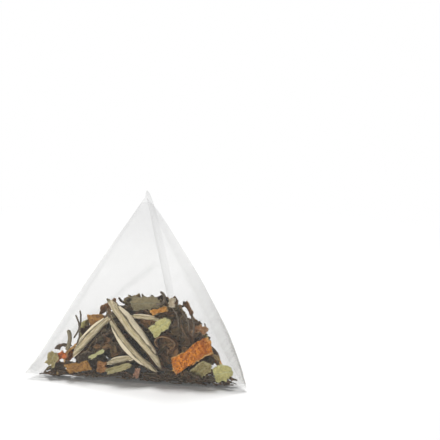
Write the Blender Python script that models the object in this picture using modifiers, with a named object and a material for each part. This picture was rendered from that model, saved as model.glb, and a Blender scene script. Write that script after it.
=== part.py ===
"""Pyramid tea bag: a see-through sheet, sealed into a tetrahedron, with loose tea inside.

The sheet is a tube. One end is sealed flat along X and lies at the front on the table. The other end
is sealed crosswise, from the peak down to the back corner. Lengths are in metres, +Z is up and the
origin is under the middle of the bag, on the table.
"""

import math

import bmesh
import bpy
from mathutils import Matrix, Vector, noise
from mathutils.bvhtree import BVHTree

# The sheet
TUBE_WIDTH = 0.062  # flat width of the tube, which is the length of both seals
TUBE_LENGTH = 0.0516  # from one seal to the other, along the sheet
SHEET = 0.0002  # thickness of the sheet
SEAL_DEPTH = 0.0025  # width of the flat sealed strips
SEAL_WAVE = 0.0003  # how far the front strip's edge waves above the table
BACK_SEAL_LEAN = math.radians(45)  # how far the back strip leans to the right at the peak
LAP_WIDTH = 0.003  # the tube's own seam, where the sheet overlaps itself
FRONT_BULGE = 0.0012  # how far the tea pushes the front wall out
LEFT_BULGE = 0.0020  # how far the two back walls stand out
RIGHT_BULGE = 0.0050
BULGE_FULLNESS = 0.7  # under 1, a bulge starts sooner behind each seal
CORNER_FLAT = 0.0215  # the tips of the front seal lift off the table beyond this distance from the middle
LEFT_LIFT = 0.0014
RIGHT_LIFT = 0.0008
PORE = 0.0005  # side of the mesh's openings that are left open, all in the right back wall

# The tea
GAP = 0.0003  # between any two pieces
LEAF_WALL = 0.00028  # thickness of a dry leaf
RING_LEAF_WALL = 0.00035
BUD_WALL = 0.00018
BUD_TIP = 0.00016  # half width of a bud's blunt tips
PEEL_THICKNESS = 0.0011
PEEL_EDGE = 0.00016  # how far the peel's edges are rounded off
BUD_ROLL = math.radians(105)  # how far each side of a bud is rolled in
RING_ROLL = math.radians(150)
HEAP_RADIUS = (0.0235, 0.021, 0.0116)  # largest size of the crumbled middle of the heap
HEAP_HEIGHT = 0.0062  # height of its middle
SLIDE_STEP = 0.0004  # a piece looks for its free place in such steps
SLIDES = 30
CLIMB_STEP = 0.0006
CLIMBS = 16
SIDLE_STEP = 0.0009
SIDLES = 8
HOLD_TURNS = 6  # each wall may push a piece against another, so they take turns
HEAP_TRIMS = 60  # at most this many times the heap is cut back from the pieces around it

# How finely the shapes are divided
RINGS = 15  # along the tube
SEAL_END = 0.25 / RINGS  # the inside ends this share of the tube's length from each seal
FRONT_PARTS = 8  # across the front wall and the floor
SIDE_PARTS = 8  # across each back wall
SEAM_EDGE = 0.0001  # the slope at the lap's edges
SEAL_WAVES = 7

HALF = TUBE_WIDTH / 2
SEAL = 2 * SHEET
LEAN = 2 * math.asin(HALF / TUBE_LENGTH)  # angle between the floor and the front wall
SLANT = math.cos(LEAN / 2)  # how squarely the tube's section cuts its walls
FORWARD = -(TUBE_LENGTH + SLANT * SEAL_DEPTH - SEAL_DEPTH) / 2  # centres the bag on the origin
FRONT = Vector((0, FORWARD, 0))
BACK = FRONT + Vector((0, TUBE_LENGTH, 0))
PEAK = FRONT + TUBE_LENGTH * Vector((0, math.cos(LEAN), math.sin(LEAN)))
LEFT = FRONT - Vector((HALF, 0, 0))
RIGHT = FRONT + Vector((HALF, 0, 0))
RISE = (PEAK - BACK).normalized()  # direction of the back seal
AXIS = ((PEAK + BACK) / 2 - FRONT).normalized()  # direction of the tube
ACROSS = Vector((1, 0, 0))
UP = Vector((0, 0, 1))

COLOURS = {
    "sheet": (0.93, 0.93, 0.92),
    "silver": (0.45, 0.40, 0.27),
    "pale_green": (0.47, 0.48, 0.24),
    "olive": (0.22, 0.20, 0.10),
    "orange": (0.70, 0.24, 0.04),
    "gold": (0.45, 0.24, 0.07),
    "brown": (0.20, 0.10, 0.05),
    "cream": (0.68, 0.58, 0.42),
    "dark": (0.055, 0.045, 0.035),
    "crumbs": (0.045, 0.035, 0.025),
}


def clear_scene():
    for item in list(bpy.data.objects):
        bpy.data.objects.remove(item, do_unlink=True)


def material(name):
    found = bpy.data.materials.get(name)
    if found is None:
        found = bpy.data.materials.new(name)
        found.use_nodes = True
        shader = found.node_tree.nodes["Principled BSDF"]
        shader.inputs["Base Color"].default_value = (*COLOURS[name], 1)
        shader.inputs["Roughness"].default_value = 0.75
        shader.inputs["Metallic"].default_value = 0.0
        shader.inputs["Alpha"].default_value = 0.35 if name == "sheet" else 1.0
    return found


def new_object(name, mesh, colour, collection):
    item = bpy.data.objects.new(name, mesh)
    mesh.materials.append(material(colour))
    collection.objects.link(item)
    return item


def mesh_from(bm, name):
    if bm.calc_volume(signed=True) < 0:
        bmesh.ops.reverse_faces(bm, faces=bm.faces)
    mesh = bpy.data.meshes.new(name)
    bm.to_mesh(mesh)
    bm.free()
    return mesh


# The bag


def table_lift(point):
    """The tips of the front seal curl up from the table."""
    lift = LEFT_LIFT if point.x < 0 else RIGHT_LIFT
    share = max(0.0, abs(point.x) - CORNER_FLAT) / (HALF - CORNER_FLAT)
    return lift * share**2


def wall_shares(parts, seam, length):
    """Shares along one wall of a section, four of them at the seam's edges where it has one."""
    if not seam:
        return [(i / parts, 0.0) for i in range(parts)]
    half, edge = min(LAP_WIDTH / length, 0.5) / 2, min(SEAM_EDGE / length, 0.02)
    free, plain = 0.5 - half - edge, (parts - 4) // 2
    before = [(i / plain * free, 0.0) for i in range(plain)]
    steps = [(free, 0.0), (0.5 - half, 1.0), (0.5 + half, 1.0), (1 - free, 0.0)]
    after = [(1 - free + i / (plain + 1) * free, 0.0) for i in range(1, plain + 1)]
    return before + steps + after


def section(along, inset=0.0):
    """Points around the tube at a share of its length, the front wall first, then clockwise."""
    fullness = (4 * along * (1 - along)) ** BULGE_FULLNESS
    bulges = [fullness * bulge for bulge in (FRONT_BULGE, RIGHT_BULGE, 0.0, LEFT_BULGE)]
    width, height = (1 - along) * TUBE_WIDTH, along * TUBE_WIDTH
    slack = 0.0
    if 0 < along < 1:  # bulging walls take length from the sheet, so the corners draw in
        slack = 8 / 3 * (bulges[0] ** 2 / width + (bulges[1] ** 2 + bulges[3] ** 2) / height)
    drawn = 1 - slack / (2 * TUBE_WIDTH)
    width, height = width * drawn + SEAL - 2 * inset / SLANT, height * drawn + SEAL - 2 * inset / SLANT
    foot = FRONT.lerp(BACK, along) + RISE * inset / SLANT
    corners = [
        foot - ACROSS * width / 2 + RISE * height,
        foot + ACROSS * width / 2 + RISE * height,
        foot + ACROSS * width / 2,
        foot - ACROSS * width / 2,
    ]
    outward = (RISE, ACROSS, -RISE, -ACROSS)
    parts = (FRONT_PARTS, SIDE_PARTS, FRONT_PARTS, SIDE_PARTS)
    points = []
    for wall in range(4):
        start, end = corners[wall], corners[(wall + 1) % 4]
        seam = wall == 3 and inset == 0.0
        for share, raised in wall_shares(parts[wall], seam, (end - start).length):
            out = bulges[wall] * 4 * share * (1 - share) + raised * SHEET
            point = start.lerp(end, share) + outward[wall] * out
            points.append(point + UP * table_lift(point))
    return points


def front_strip(ring):
    """The front seal's free edge, which lies on the table and waves a little."""
    strip = []
    for point in ring:
        turn = 2 * math.pi * SEAL_WAVES * point.x / TUBE_WIDTH
        wave = SEAL_WAVE * (0.5 - 0.5 * math.cos(turn)) * (abs(point.x) < HALF - SEAL)
        strip.append(point + Vector((0, -SEAL_DEPTH, wave)))
    return strip


def back_strip(ring):
    """The back seal's free edge, which leans to the right towards the peak."""
    strip = []
    for point in ring:
        lean = BACK_SEAL_LEAN * point.z / PEAK.z
        strip.append(point + (AXIS * math.cos(lean) + ACROSS * math.sin(lean)) * SEAL_DEPTH)
    return strip


def cap(bm, ring, starts):
    """Closes a flat ring with a strip between its two long walls and a fan at each short wall."""
    long_a, short_a, long_b, short_b = starts
    count = len(ring)
    first = [ring[i] for i in range(long_a, short_a + 1)]
    second = [ring[i % count] for i in range(long_b, short_b + 1)][::-1]
    for i in range(1, len(first) - 2):
        bm.faces.new((first[i], first[i + 1], second[i + 1], second[i]))
    ends = ([ring[i] for i in range(short_a, long_b + 1)], first[-2], second[-2])
    starts = ([ring[i % count] for i in range(short_b, long_a + count + 1)], second[1], first[1])
    for short, before, after in (ends, starts):
        for i in range(len(short) - 1):
            bm.faces.new((before, short[i], short[i + 1]))
        bm.faces.new((before, short[-1], after))


def pore(bm, outer, inner):
    """A small square opening through the wall between two facing cells, each given as four corners."""
    rims = []
    for cell in (outer, inner):
        corners = [vertex.co for vertex in cell]
        centre = sum(corners, Vector()) / 4
        side = (corners[1] + corners[2] - corners[0] - corners[3]).normalized() * PORE / 2
        rise = (corners[3] + corners[2] - corners[0] - corners[1]).normalized() * PORE / 2
        places = (centre - side - rise, centre + side - rise, centre + side + rise, centre - side + rise)
        rim = [bm.verts.new(place) for place in places]
        for i in range(4):
            bm.faces.new((cell[i], cell[(i + 1) % 4], rim[(i + 1) % 4], rim[i]))
        rims.append(rim)
    for i in range(4):
        bm.faces.new((rims[0][i], rims[0][(i + 1) % 4], rims[1][(i + 1) % 4], rims[1][i]))


def build_bag(collection):
    bm = bmesh.new()

    def ring_of(points):
        return [bm.verts.new(point) for point in points]

    outer_points = [section(i / RINGS) for i in range(RINGS + 1)]
    edges = front_strip(outer_points[0]), back_strip(outer_points[-1])
    outer = [ring_of(points) for points in (edges[0], *outer_points, edges[1])]
    inner_shares = [SEAL_END, *(i / RINGS for i in range(1, RINGS)), 1 - SEAL_END]
    inner = [ring_of(section(share, SHEET)) for share in inner_shares]

    right_wall, floor, left_wall = FRONT_PARTS, FRONT_PARTS + SIDE_PARTS, 2 * FRONT_PARTS + SIDE_PARTS
    pores = {
        (ring, right_wall + part)
        for ring in range(3, RINGS - 2)
        for part in range(1, SIDE_PARTS - 1)
        if (ring + part) % 2 == 0
    }
    for ring in range(len(outer) - 1):
        for i in range(len(outer[0])):
            if (ring - 1, i) not in pores:
                j = (i + 1) % len(outer[0])
                bm.faces.new((outer[ring][i], outer[ring][j], outer[ring + 1][j], outer[ring + 1][i]))
    for ring in range(len(inner) - 1):
        for i in range(len(inner[0])):
            j = (i + 1) % len(inner[0])
            cell = (inner[ring][i], inner[ring][j], inner[ring + 1][j], inner[ring + 1][i])
            if (ring, i) in pores:
                above, below = outer[ring + 1], outer[ring + 2]
                pore(bm, (above[i], above[j], below[j], below[i]), cell)
            else:
                bm.faces.new(cell)
    across = (0, right_wall, floor, left_wall)
    cap(bm, outer[0], across)
    cap(bm, inner[0], across)
    for rings in (outer, inner):  # the back seal runs the other way, so its long walls are the sides
        count = len(rings[-1])
        turned = rings[-1][right_wall:] + rings[-1][:right_wall]
        cap(bm, turned, (0, floor - right_wall, left_wall - right_wall, count - right_wall))
    bmesh.ops.recalc_face_normals(bm, faces=bm.faces)
    return new_object("bag", mesh_from(bm, "bag"), "sheet", collection)


# Forms of the tea


def sheet_form(name, length, width, shape, cells, thickness=LEAF_WALL):
    """An open grid bent by a function of its two shares, with a wall from Solidify."""
    bm = bmesh.new()
    bmesh.ops.create_grid(bm, x_segments=cells[0], y_segments=cells[1], size=1)
    for vertex in bm.verts:
        vertex.co = shape(vertex.co.x, vertex.co.y, length, width)
    return mesh_from(bm, name), ("SOLIDIFY", thickness)


def blade_half_width(along, width):
    """Half width of a pointed leaf, widest a little before its middle."""
    share = (along + 1) / 2
    return BUD_TIP + (width / 2 - BUD_TIP) * math.sin(math.pi * share**0.85) ** 0.8


def bud(name, length, width):
    """A young leaf rolled lengthwise, pointed at both ends and slightly bowed."""

    def shape(along, across, length, width):
        half = blade_half_width(along, width)
        angle = across * BUD_ROLL
        bow = 0.06 * length * (1 - along**2)
        return Vector((along * length / 2, half * math.sin(angle) + bow, half * math.cos(angle)))

    return sheet_form(name, length, width, shape, cells=(9, 6), thickness=BUD_WALL)


def leaf(name, length, width):
    """A broken piece of flat leaf with a ragged, slightly cupped outline."""

    def shape(along, across, length, width):
        ragged = noise.noise(Vector((3.1 * along, 2.3 * across, 60 * length + 9 * width)))
        reach = 1 - 0.10 * abs(across) ** 3 + 0.25 * ragged
        half = width / 2 * (1 - 0.20 * abs(along) ** 3) * (1 + 0.35 * ragged)
        cup = 0.10 * width * (across**2 + 0.6 * math.sin(2.5 * along + 40 * length))
        fold = 0.10 * width * abs(across)
        return Vector((along * length / 2 * reach, across * half, cup + fold))

    return sheet_form(name, length, width, shape, cells=(6, 5))


def ring_leaf(name, length, width):
    """A leaf curled into an open ring around its long direction."""

    def shape(along, across, length, width):
        angle = RING_ROLL * along
        radius = width / 2 * (1 - 0.12 * across)
        return Vector((length / 2 * math.sin(angle), radius * math.cos(angle), 0.4 * width * across))

    return sheet_form(name, length, width, shape, cells=(9, 4), thickness=RING_LEAF_WALL)


def twist(name, length, width):
    """A dark leaf rolled and twisted along its length."""
    bm = bmesh.new()
    bmesh.ops.create_uvsphere(bm, u_segments=7, v_segments=9, radius=1)
    for vertex in bm.verts:
        along, side, out = vertex.co.z, vertex.co.x, vertex.co.y
        swell = 1 + 0.35 * math.sin(9 * along + 700 * length)
        angle = 2.6 * along
        y = swell * (side * math.cos(angle) - 0.6 * out * math.sin(angle))
        z = swell * (side * math.sin(angle) + 0.6 * out * math.cos(angle))
        bend = 0.10 * length * math.cos(2.4 * along)
        vertex.co = Vector((along * length / 2, y * width / 2 + bend, z * width / 2))
    return mesh_from(bm, name), None


def stem(name, length, width, sweep=0.5):
    """A thin stalk bent along an arc, as a round tube with filled ends."""
    curve = bpy.data.curves.new(name, "CURVE")
    curve.dimensions = "3D"
    curve.bevel_depth = width / 2
    curve.bevel_resolution = 1
    curve.use_fill_caps = True
    line = curve.splines.new("POLY")
    steps = 7
    line.points.add(steps - 1)
    for i in range(steps):
        share = 2 * i / (steps - 1) - 1
        turn = sweep * share
        reach = math.sin(turn) / sweep
        line.points[i].co = (reach * length / 2, (1 - math.cos(turn)) / sweep * length / 2, 0, 1)
    item = bpy.data.objects.new(name, curve)
    bpy.context.scene.collection.objects.link(item)
    mesh = bpy.data.meshes.new_from_object(item.evaluated_get(bpy.context.evaluated_depsgraph_get()))
    bpy.data.objects.remove(item)
    bpy.data.curves.remove(curve)
    bm = bmesh.new()
    bm.from_mesh(mesh)
    bmesh.ops.remove_doubles(bm, verts=bm.verts, dist=width / 50)
    bm.to_mesh(mesh)
    bm.free()
    mesh.name = name
    return mesh, None


def hook(name, length, width):
    return stem(name, length, width, sweep=1.7)


def chip(name, length, width):
    """A thick cut piece of dried peel with a slight bow and rounded edges."""
    bm = bmesh.new()
    bmesh.ops.create_cube(bm, size=2)
    lengthwise = [edge for edge in bm.edges if abs(edge.verts[0].co.x - edge.verts[1].co.x) > 1]
    bmesh.ops.subdivide_edges(bm, edges=lengthwise, cuts=3, use_grid_fill=True)
    for vertex in bm.verts:
        along, across, out = vertex.co
        uneven = noise.noise(Vector((2 * along, 2 * across, 300 * length + 50 * width)))
        half = width / 2 * (1 + 0.25 * uneven)
        bow = 0.07 * length * (1 - along**2)
        shear = 0.2 * length * across * noise.noise(Vector((900 * length, 40 * width, 0.5)))
        reach = along * length / 2 * (1 + 0.1 * uneven) + shear
        vertex.co = Vector((reach, across * half, out * PEEL_THICKNESS / 2 + bow))
    return mesh_from(bm, name), ("BEVEL", PEEL_EDGE)


def add_modifier(item, finish):
    kind, size = finish
    if kind == "SOLIDIFY":
        wall = item.modifiers.new("wall", "SOLIDIFY")
        wall.thickness = size
        wall.offset = 0
    else:
        edge = item.modifiers.new("edge", "BEVEL")
        edge.width = size
        edge.segments = 1


# Places in the bag

WALLS = {
    "front": (LEFT, RIGHT, PEAK),
    "left": (BACK, LEFT, PEAK),
    "right": (RIGHT, BACK, PEAK),
    "floor": (RIGHT, LEFT, BACK),
}

# name, form, colour, length, width, wall, place across (-1 to 1), place up (0 to 1), depth, turn
# in degrees and roll in degrees about the piece's own length
FRONT_TEA = (
    ("silver_bud_upper", bud, "silver", 0.0238, 0.0036, -0.07, 0.27, 0.0000, -52, 15),
    ("silver_bud_lower", bud, "silver", 0.0200, 0.0024, -0.105, 0.215, 0.0004, 130, 25),
    ("silver_bud_left", bud, "silver", 0.0168, 0.0027, -0.57, 0.24, 0.0000, 48, 10),
    ("orange_peel_large", chip, "orange", 0.0130, 0.0050, 0.58, 0.17, 0.0000, 33, 0),
    ("silver_bud_small", bud, "silver", 0.0080, 0.0018, -0.19, 0.125, 0.0000, 14, 0),
    ("olive_leaf_low", leaf, "olive", 0.0084, 0.0020, -0.19, 0.080, 0.0000, 19, 10),
    ("silver_bud_top", bud, "silver", 0.0095, 0.0013, 0.03, 0.345, 0.0030, -2, 0),
    ("pale_leaf_middle", leaf, "pale_green", 0.0068, 0.0040, 0.27, 0.305, 0.0000, 36, 0),
    ("pale_leaf_right", leaf, "pale_green", 0.0058, 0.0052, 0.86, 0.075, 0.0000, 10, 0),
    ("toothed_leaf_left", leaf, "olive", 0.0048, 0.0034, -0.93, 0.120, 0.0000, 65, 0),
    ("olive_leaf_right", leaf, "olive", 0.0066, 0.0042, 0.62, 0.080, 0.0000, 35, 0),
    ("pale_leaf_strip", leaf, "pale_green", 0.0055, 0.0013, -0.44, 0.150, 0.0000, 30, 0),
    ("yellow_peel_top", chip, "gold", 0.0050, 0.0018, 0.26, 0.375, 0.0025, 20, 0),
    ("golden_peel_left", chip, "gold", 0.0050, 0.0038, -0.60, 0.300, 0.0036, 8, 0),
    ("red_peel_left", chip, "orange", 0.0038, 0.0026, -0.83, 0.130, 0.0000, 30, 0),
    ("brown_peel_floor", chip, "gold", 0.0070, 0.0028, -0.57, 0.035, 0.0000, 12, 0),
    ("brown_peel_square", chip, "brown", 0.0036, 0.0031, -0.37, 0.085, 0.0010, 85, 0),
    ("pink_peel_low", chip, "cream", 0.0031, 0.0018, 0.02, 0.070, 0.0000, 80, 0),
    ("cream_peel_top", chip, "cream", 0.0028, 0.0021, 0.47, 0.430, 0.0030, 90, 0),
    ("brown_leaf_right", leaf, "brown", 0.0054, 0.0030, 0.80, 0.280, 0.0015, -6, 10),
    ("ring_leaf_middle", ring_leaf, "brown", 0.0062, 0.0040, 0.29, 0.205, 0.0010, -9, 0),
    ("grey_leaf_top", leaf, "olive", 0.0092, 0.0046, 0.03, 0.395, 0.0035, 3, -10),
    ("hook_stem_top", hook, "dark", 0.0062, 0.0009, 0.42, 0.435, 0.0020, 75, 0),
    ("twig_right_a", stem, "dark", 0.0062, 0.0006, 0.54, 0.365, 0.0010, 110, 0),
    ("twig_right_b", stem, "dark", 0.0058, 0.0007, 0.67, 0.350, 0.0010, 115, 0),
    ("twig_right_c", stem, "dark", 0.0062, 0.0006, 0.83, 0.335, 0.0005, 98, 0),
    ("thin_stem_outer", stem, "dark", 0.0090, 0.0006, -0.84, 0.300, 0.0000, 95, 0),
    ("thin_stem_inner", stem, "dark", 0.0085, 0.0006, -0.78, 0.290, 0.0005, 80, 0),
    ("cut_stem_left", stem, "olive", 0.0060, 0.0014, -0.81, 0.215, 0.0000, 88, 0),
    ("dark_leaf_left", leaf, "dark", 0.0062, 0.0054, -0.54, 0.110, 0.0012, 10, 0),
    ("twist_left_top", twist, "dark", 0.0060, 0.0018, -0.42, 0.350, 0.0020, 32, 0),
    ("twist_left_edge", twist, "dark", 0.0050, 0.0016, -0.86, 0.180, 0.0010, 14, 0),
    ("twist_left_tip", twist, "dark", 0.0050, 0.0012, -0.84, 0.030, 0.0000, 18, 0),
    ("twist_right_tip", twist, "dark", 0.0050, 0.0014, 0.88, 0.022, 0.0000, 5, 0),
    ("twist_middle_top", twist, "dark", 0.0100, 0.0026, 0.50, 0.310, 0.0020, 20, 0),
    ("twist_behind_buds", twist, "dark", 0.0120, 0.0030, -0.03, 0.230, 0.0015, -38, 0),
    ("twist_left_middle", twist, "dark", 0.0090, 0.0028, -0.40, 0.230, 0.0020, 30, 0),
    ("twist_low_middle", twist, "dark", 0.0100, 0.0024, 0.22, 0.055, 0.0005, -12, 0),
    ("twist_low_left", twist, "dark", 0.0085, 0.0022, -0.30, 0.030, 0.0005, 4, 0),
    ("twist_right_edge", twist, "dark", 0.0080, 0.0020, 0.88, 0.200, 0.0010, -56, 0),
)

# The walls that the front view hides hold the same kinds of tea: form, colour, length and width
BACK_TEA = (
    (twist, "dark", 0.0120, 0.0030),
    (leaf, "olive", 0.0080, 0.0050),
    (chip, "orange", 0.0070, 0.0042),
    (bud, "silver", 0.0150, 0.0030),
    (twist, "dark", 0.0100, 0.0026),
    (leaf, "pale_green", 0.0070, 0.0046),
    (stem, "dark", 0.0090, 0.0008),
    (leaf, "brown", 0.0070, 0.0044),
)
BACK_PLACES = (  # place across, place up, turn
    (0.10, 0.08, 5),
    (-0.45, 0.10, 40),
    (0.55, 0.10, -30),
    (0.05, 0.22, 35),
    (-0.40, 0.27, -40),
    (0.55, 0.25, 70),
    (-0.15, 0.31, 25),
    (0.25, 0.34, -20),
)


def wall_frame(wall):
    """A wall's middle foot, half its foot, the way to its peak and its outward direction."""
    left, right, peak = WALLS[wall]
    foot = (left + right) / 2
    return foot, (right - left) / 2, peak - foot, (right - left).cross(peak - left).normalized()


def evaluated(item):
    """Corners and faces of the object with its modifiers, in its own frame."""
    shape = item.evaluated_get(bpy.context.evaluated_depsgraph_get())
    mesh = shape.to_mesh()
    corners = [vertex.co.copy() for vertex in mesh.vertices]
    normals = [vertex.normal.copy() for vertex in mesh.vertices]
    faces = [tuple(face.vertices) for face in mesh.polygons]
    shape.to_mesh_clear()
    return corners, normals, faces


def tree_of(item, grown=0.0):
    """A search tree of the object where it stands, its surface grown outwards by a distance."""
    corners, normals, faces = evaluated(item)
    places = [item.matrix_world @ (c + n * grown) for c, n in zip(corners, normals)]
    return BVHTree.FromPolygons(places, faces)


def reach_outside(places):
    """How far the places reach past each flat wall, less the clearance, with that wall's direction."""
    for wall in WALLS:
        foot, _, _, outward = wall_frame(wall)
        yield max((place - foot).dot(outward) for place in places) + SHEET + GAP, outward


def hold_inside(item, corners):
    """Moves the piece inwards until it is clear of the four flat walls."""
    for _ in range(HOLD_TURNS):
        for excess, outward in reach_outside([item.matrix_world @ corner for corner in corners]):
            move = Matrix.Translation(-outward * max(0.0, excess))
            item.matrix_world = move @ item.matrix_world


def settle(item, inward, placed):
    """Moves the piece to the nearest free place: inwards, up or down, or towards the bag's middle."""
    corners, normals, faces = evaluated(item)
    hold_inside(item, corners)
    grown = [item.matrix_world @ (corner + normal * GAP) for corner, normal in zip(corners, normals)]
    reaches = list(reach_outside(grown))
    sideways = -ACROSS if item.matrix_world.translation.x > 0 else ACROSS
    moves = [
        UP * climb * CLIMB_STEP + inward * slide * SLIDE_STEP + sideways * sidle * SIDLE_STEP
        for climb in range(-CLIMBS, CLIMBS + 1)
        for slide in range(SLIDES)
        for sidle in range(SIDLES)
    ]
    for move in sorted(moves, key=lambda move: move.length):
        if any(excess + move.dot(outward) > 2 * GAP for excess, outward in reaches):
            continue
        tree = BVHTree.FromPolygons([place + move for place in grown], faces)
        if not any(tree.overlap(other) for other in placed):
            break
    item.matrix_world = Matrix.Translation(move) @ item.matrix_world
    placed.append(tree_of(item))


def place_piece(name, form, colour, length, width, spot, placed, collection):
    """Makes a piece, lays it against a wall and lets it settle. The spot is as in FRONT_TEA."""
    wall, across, up, depth, turn, roll = spot
    mesh, finish = form(name, length, width)
    item = new_object(name, mesh, colour, collection)
    if finish:
        add_modifier(item, finish)
    foot, half, rise, outward = wall_frame(wall)
    inward = -Vector((outward.x, outward.y, 0)).normalized()
    spin = math.radians(turn)
    sideways, upright = half.normalized(), outward.cross(half).normalized()
    lengthwise = sideways * math.cos(spin) + upright * math.sin(spin)
    facing = Matrix((lengthwise, outward.cross(lengthwise), outward)).transposed().to_4x4()
    place = foot + half * across * (1 - up) + rise * up + inward * depth
    own_roll = Matrix.Rotation(math.radians(roll), 4, "X")
    item.matrix_world = Matrix.Translation(place) @ facing @ own_roll
    bpy.context.view_layer.update()
    settle(item, inward, placed)


def build_heap(placed, collection):
    """The crumbled tea in the middle, grown outwards from one point until it meets the pieces."""
    middle = FRONT.lerp(BACK, 1 / 3) + UP * HEAP_HEIGHT
    bm = bmesh.new()
    bmesh.ops.create_icosphere(bm, subdivisions=4, radius=1)
    reaches = {}
    for vertex in bm.verts:
        way = vertex.co.normalized()
        bound = 1 / math.sqrt(sum((way[i] / HEAP_RADIUS[i]) ** 2 for i in range(3)))
        bound *= 1 + 0.14 * noise.noise(4 * way)
        hits = [tree.ray_cast(middle, way)[3] for tree in placed]
        reaches[vertex] = min([bound] + [hit - 2 * GAP for hit in hits if hit is not None])
    for vertex in bm.verts:
        near = [reaches[vertex]] + [reaches[edge.other_vert(vertex)] for edge in vertex.link_edges]
        vertex.co = vertex.co.normalized() * min(near)
    for _ in range(HEAP_TRIMS):
        bm.verts.ensure_lookup_table()
        bm.normal_update()
        corners = [middle + vertex.co + vertex.normal * GAP for vertex in bm.verts]
        faces = [tuple(vertex.index for vertex in face.verts) for face in bm.faces]
        tree = BVHTree.FromPolygons(corners, faces)
        meeting = {pair[0] for other in placed for pair in tree.overlap(other)}
        if not meeting:
            break
        for index in {vertex for face in meeting for vertex in faces[face]}:
            bm.verts[index].co *= 0.96
    item = new_object("crumbled_tea", mesh_from(bm, "crumbled_tea"), "crumbs", collection)
    item.location = middle


def main():
    clear_scene()
    collection = bpy.data.collections.new("pyramid_tea_bag")
    bpy.context.scene.collection.children.link(collection)
    bag = build_bag(collection)
    bpy.context.view_layer.update()
    placed = [tree_of(bag)]
    for name, form, colour, length, width, across, up, depth, turn, roll in FRONT_TEA:
        spot = ("front", across, up, depth, turn, roll)
        place_piece(name, form, colour, length, width, spot, placed, collection)
    for wall in ("left", "right"):
        for index, ((form, colour, length, width), (across, up, turn)) in enumerate(
            zip(BACK_TEA, BACK_PLACES)
        ):
            name = f"{wall}_wall_{form.__name__}_{index + 1}"
            side = 1 if wall == "left" else -1
            spot = (wall, side * across, up, 0.0, side * turn, 0)
            place_piece(name, form, colour, length, width, spot, placed, collection)
    build_heap(placed, collection)


main()
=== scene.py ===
"""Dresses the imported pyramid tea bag: see-through mesh cloth with loose leaf tea inside.

Laid out as a Blender add-on and run as a script. Lengths are in metres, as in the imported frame. Texture
coordinates kept on the meshes are in millimetres.
"""

import math
import random
from collections import namedtuple

import bmesh
import bpy
import numpy as np
from bpy.props import FloatProperty, FloatVectorProperty, IntProperty, PointerProperty
from mathutils import Matrix, Vector, noise
from mathutils.bvhtree import BVHTree


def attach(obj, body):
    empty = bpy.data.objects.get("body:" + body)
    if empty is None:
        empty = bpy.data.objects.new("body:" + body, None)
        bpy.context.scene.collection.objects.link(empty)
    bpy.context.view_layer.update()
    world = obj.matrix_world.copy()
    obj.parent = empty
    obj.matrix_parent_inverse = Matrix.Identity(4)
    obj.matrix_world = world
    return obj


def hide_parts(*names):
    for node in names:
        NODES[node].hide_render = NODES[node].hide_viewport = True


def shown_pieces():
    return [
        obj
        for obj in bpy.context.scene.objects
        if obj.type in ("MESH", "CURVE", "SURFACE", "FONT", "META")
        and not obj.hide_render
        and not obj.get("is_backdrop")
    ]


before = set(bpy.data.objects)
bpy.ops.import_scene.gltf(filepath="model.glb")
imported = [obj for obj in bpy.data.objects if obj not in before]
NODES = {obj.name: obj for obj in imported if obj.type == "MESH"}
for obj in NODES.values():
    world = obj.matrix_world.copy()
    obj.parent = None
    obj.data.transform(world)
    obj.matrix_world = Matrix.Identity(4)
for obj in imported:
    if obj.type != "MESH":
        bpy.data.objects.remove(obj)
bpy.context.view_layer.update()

bl_info = {
    "name": "Pyramid tea bag",
    "version": (1, 0, 0),
    "blender": (4, 5, 0),
    "location": "3D View > Sidebar > Tea bag",
    "description": "Dresses the packed pyramid tea bag in mesh cloth and loose leaf tea",
    "category": "Mesh",
}

MM = 0.001

# The bag, as the part's source draws it
TUBE_WIDTH = 0.062
TUBE_LENGTH = 0.0516
CAD_SHEET = 0.0002
SEAL_DEPTH = 0.0025
SEAL_WAVE = 0.0003
SEAL_WAVES = 7
BACK_SEAL_LEAN = math.radians(45)
LAP_WIDTH = 0.003
FRONT_BULGE = 0.0012
BULGE_FULLNESS = 0.7
CORNER_FLAT = 0.0215
LEFT_LIFT = 0.0014
RIGHT_LIFT = 0.0008

# The cloth's two back walls, which the tea pushes out
LEFT_STAND = 0.0033
RIGHT_STAND = 0.0052
SIDE_FULLNESS = (0.85, 0.32)  # they stand out later behind the front seal than behind the back one
SIDE_SKEW = 0.42  # under 1, they stand out most near the fold with the front wall

HALF = TUBE_WIDTH / 2
SEAL = 2 * CAD_SHEET
LEAN = 2 * math.asin(HALF / TUBE_LENGTH)
SLANT = math.cos(LEAN / 2)
FORWARD = -(TUBE_LENGTH + SLANT * SEAL_DEPTH - SEAL_DEPTH) / 2
FRONT = Vector((0, FORWARD, 0))
BACK = FRONT + Vector((0, TUBE_LENGTH, 0))
PEAK = FRONT + TUBE_LENGTH * Vector((0, math.cos(LEAN), math.sin(LEAN)))
LEFT = FRONT - Vector((HALF, 0, 0))
RIGHT = FRONT + Vector((HALF, 0, 0))
RISE = (PEAK - BACK).normalized()
AXIS = ((PEAK + BACK) / 2 - FRONT).normalized()
ACROSS = Vector((1, 0, 0))
UP = Vector((0, 0, 1))

# How finely the cloth is divided
RINGS = 60
FRONT_PARTS = 44
SIDE_PARTS = 36
SEAL_END = 0.02  # the inside ends this share of the tube's length from each seal
FOLD_SHARE = 0.03  # this share of a wall's width at each fold is rounded
ROUNDINGS = 3
ROUNDED_FROM = 0.08  # share of the tube's length from each seal at which the folds are fully rounded

# Dents: waves per metre, and how near the seals the pleats stay, as a share of the tube's length
BROAD_DENTS = 95
FINE_DENTS = (420, 90, 90)
PLEAT_REACH = 0.10

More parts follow.
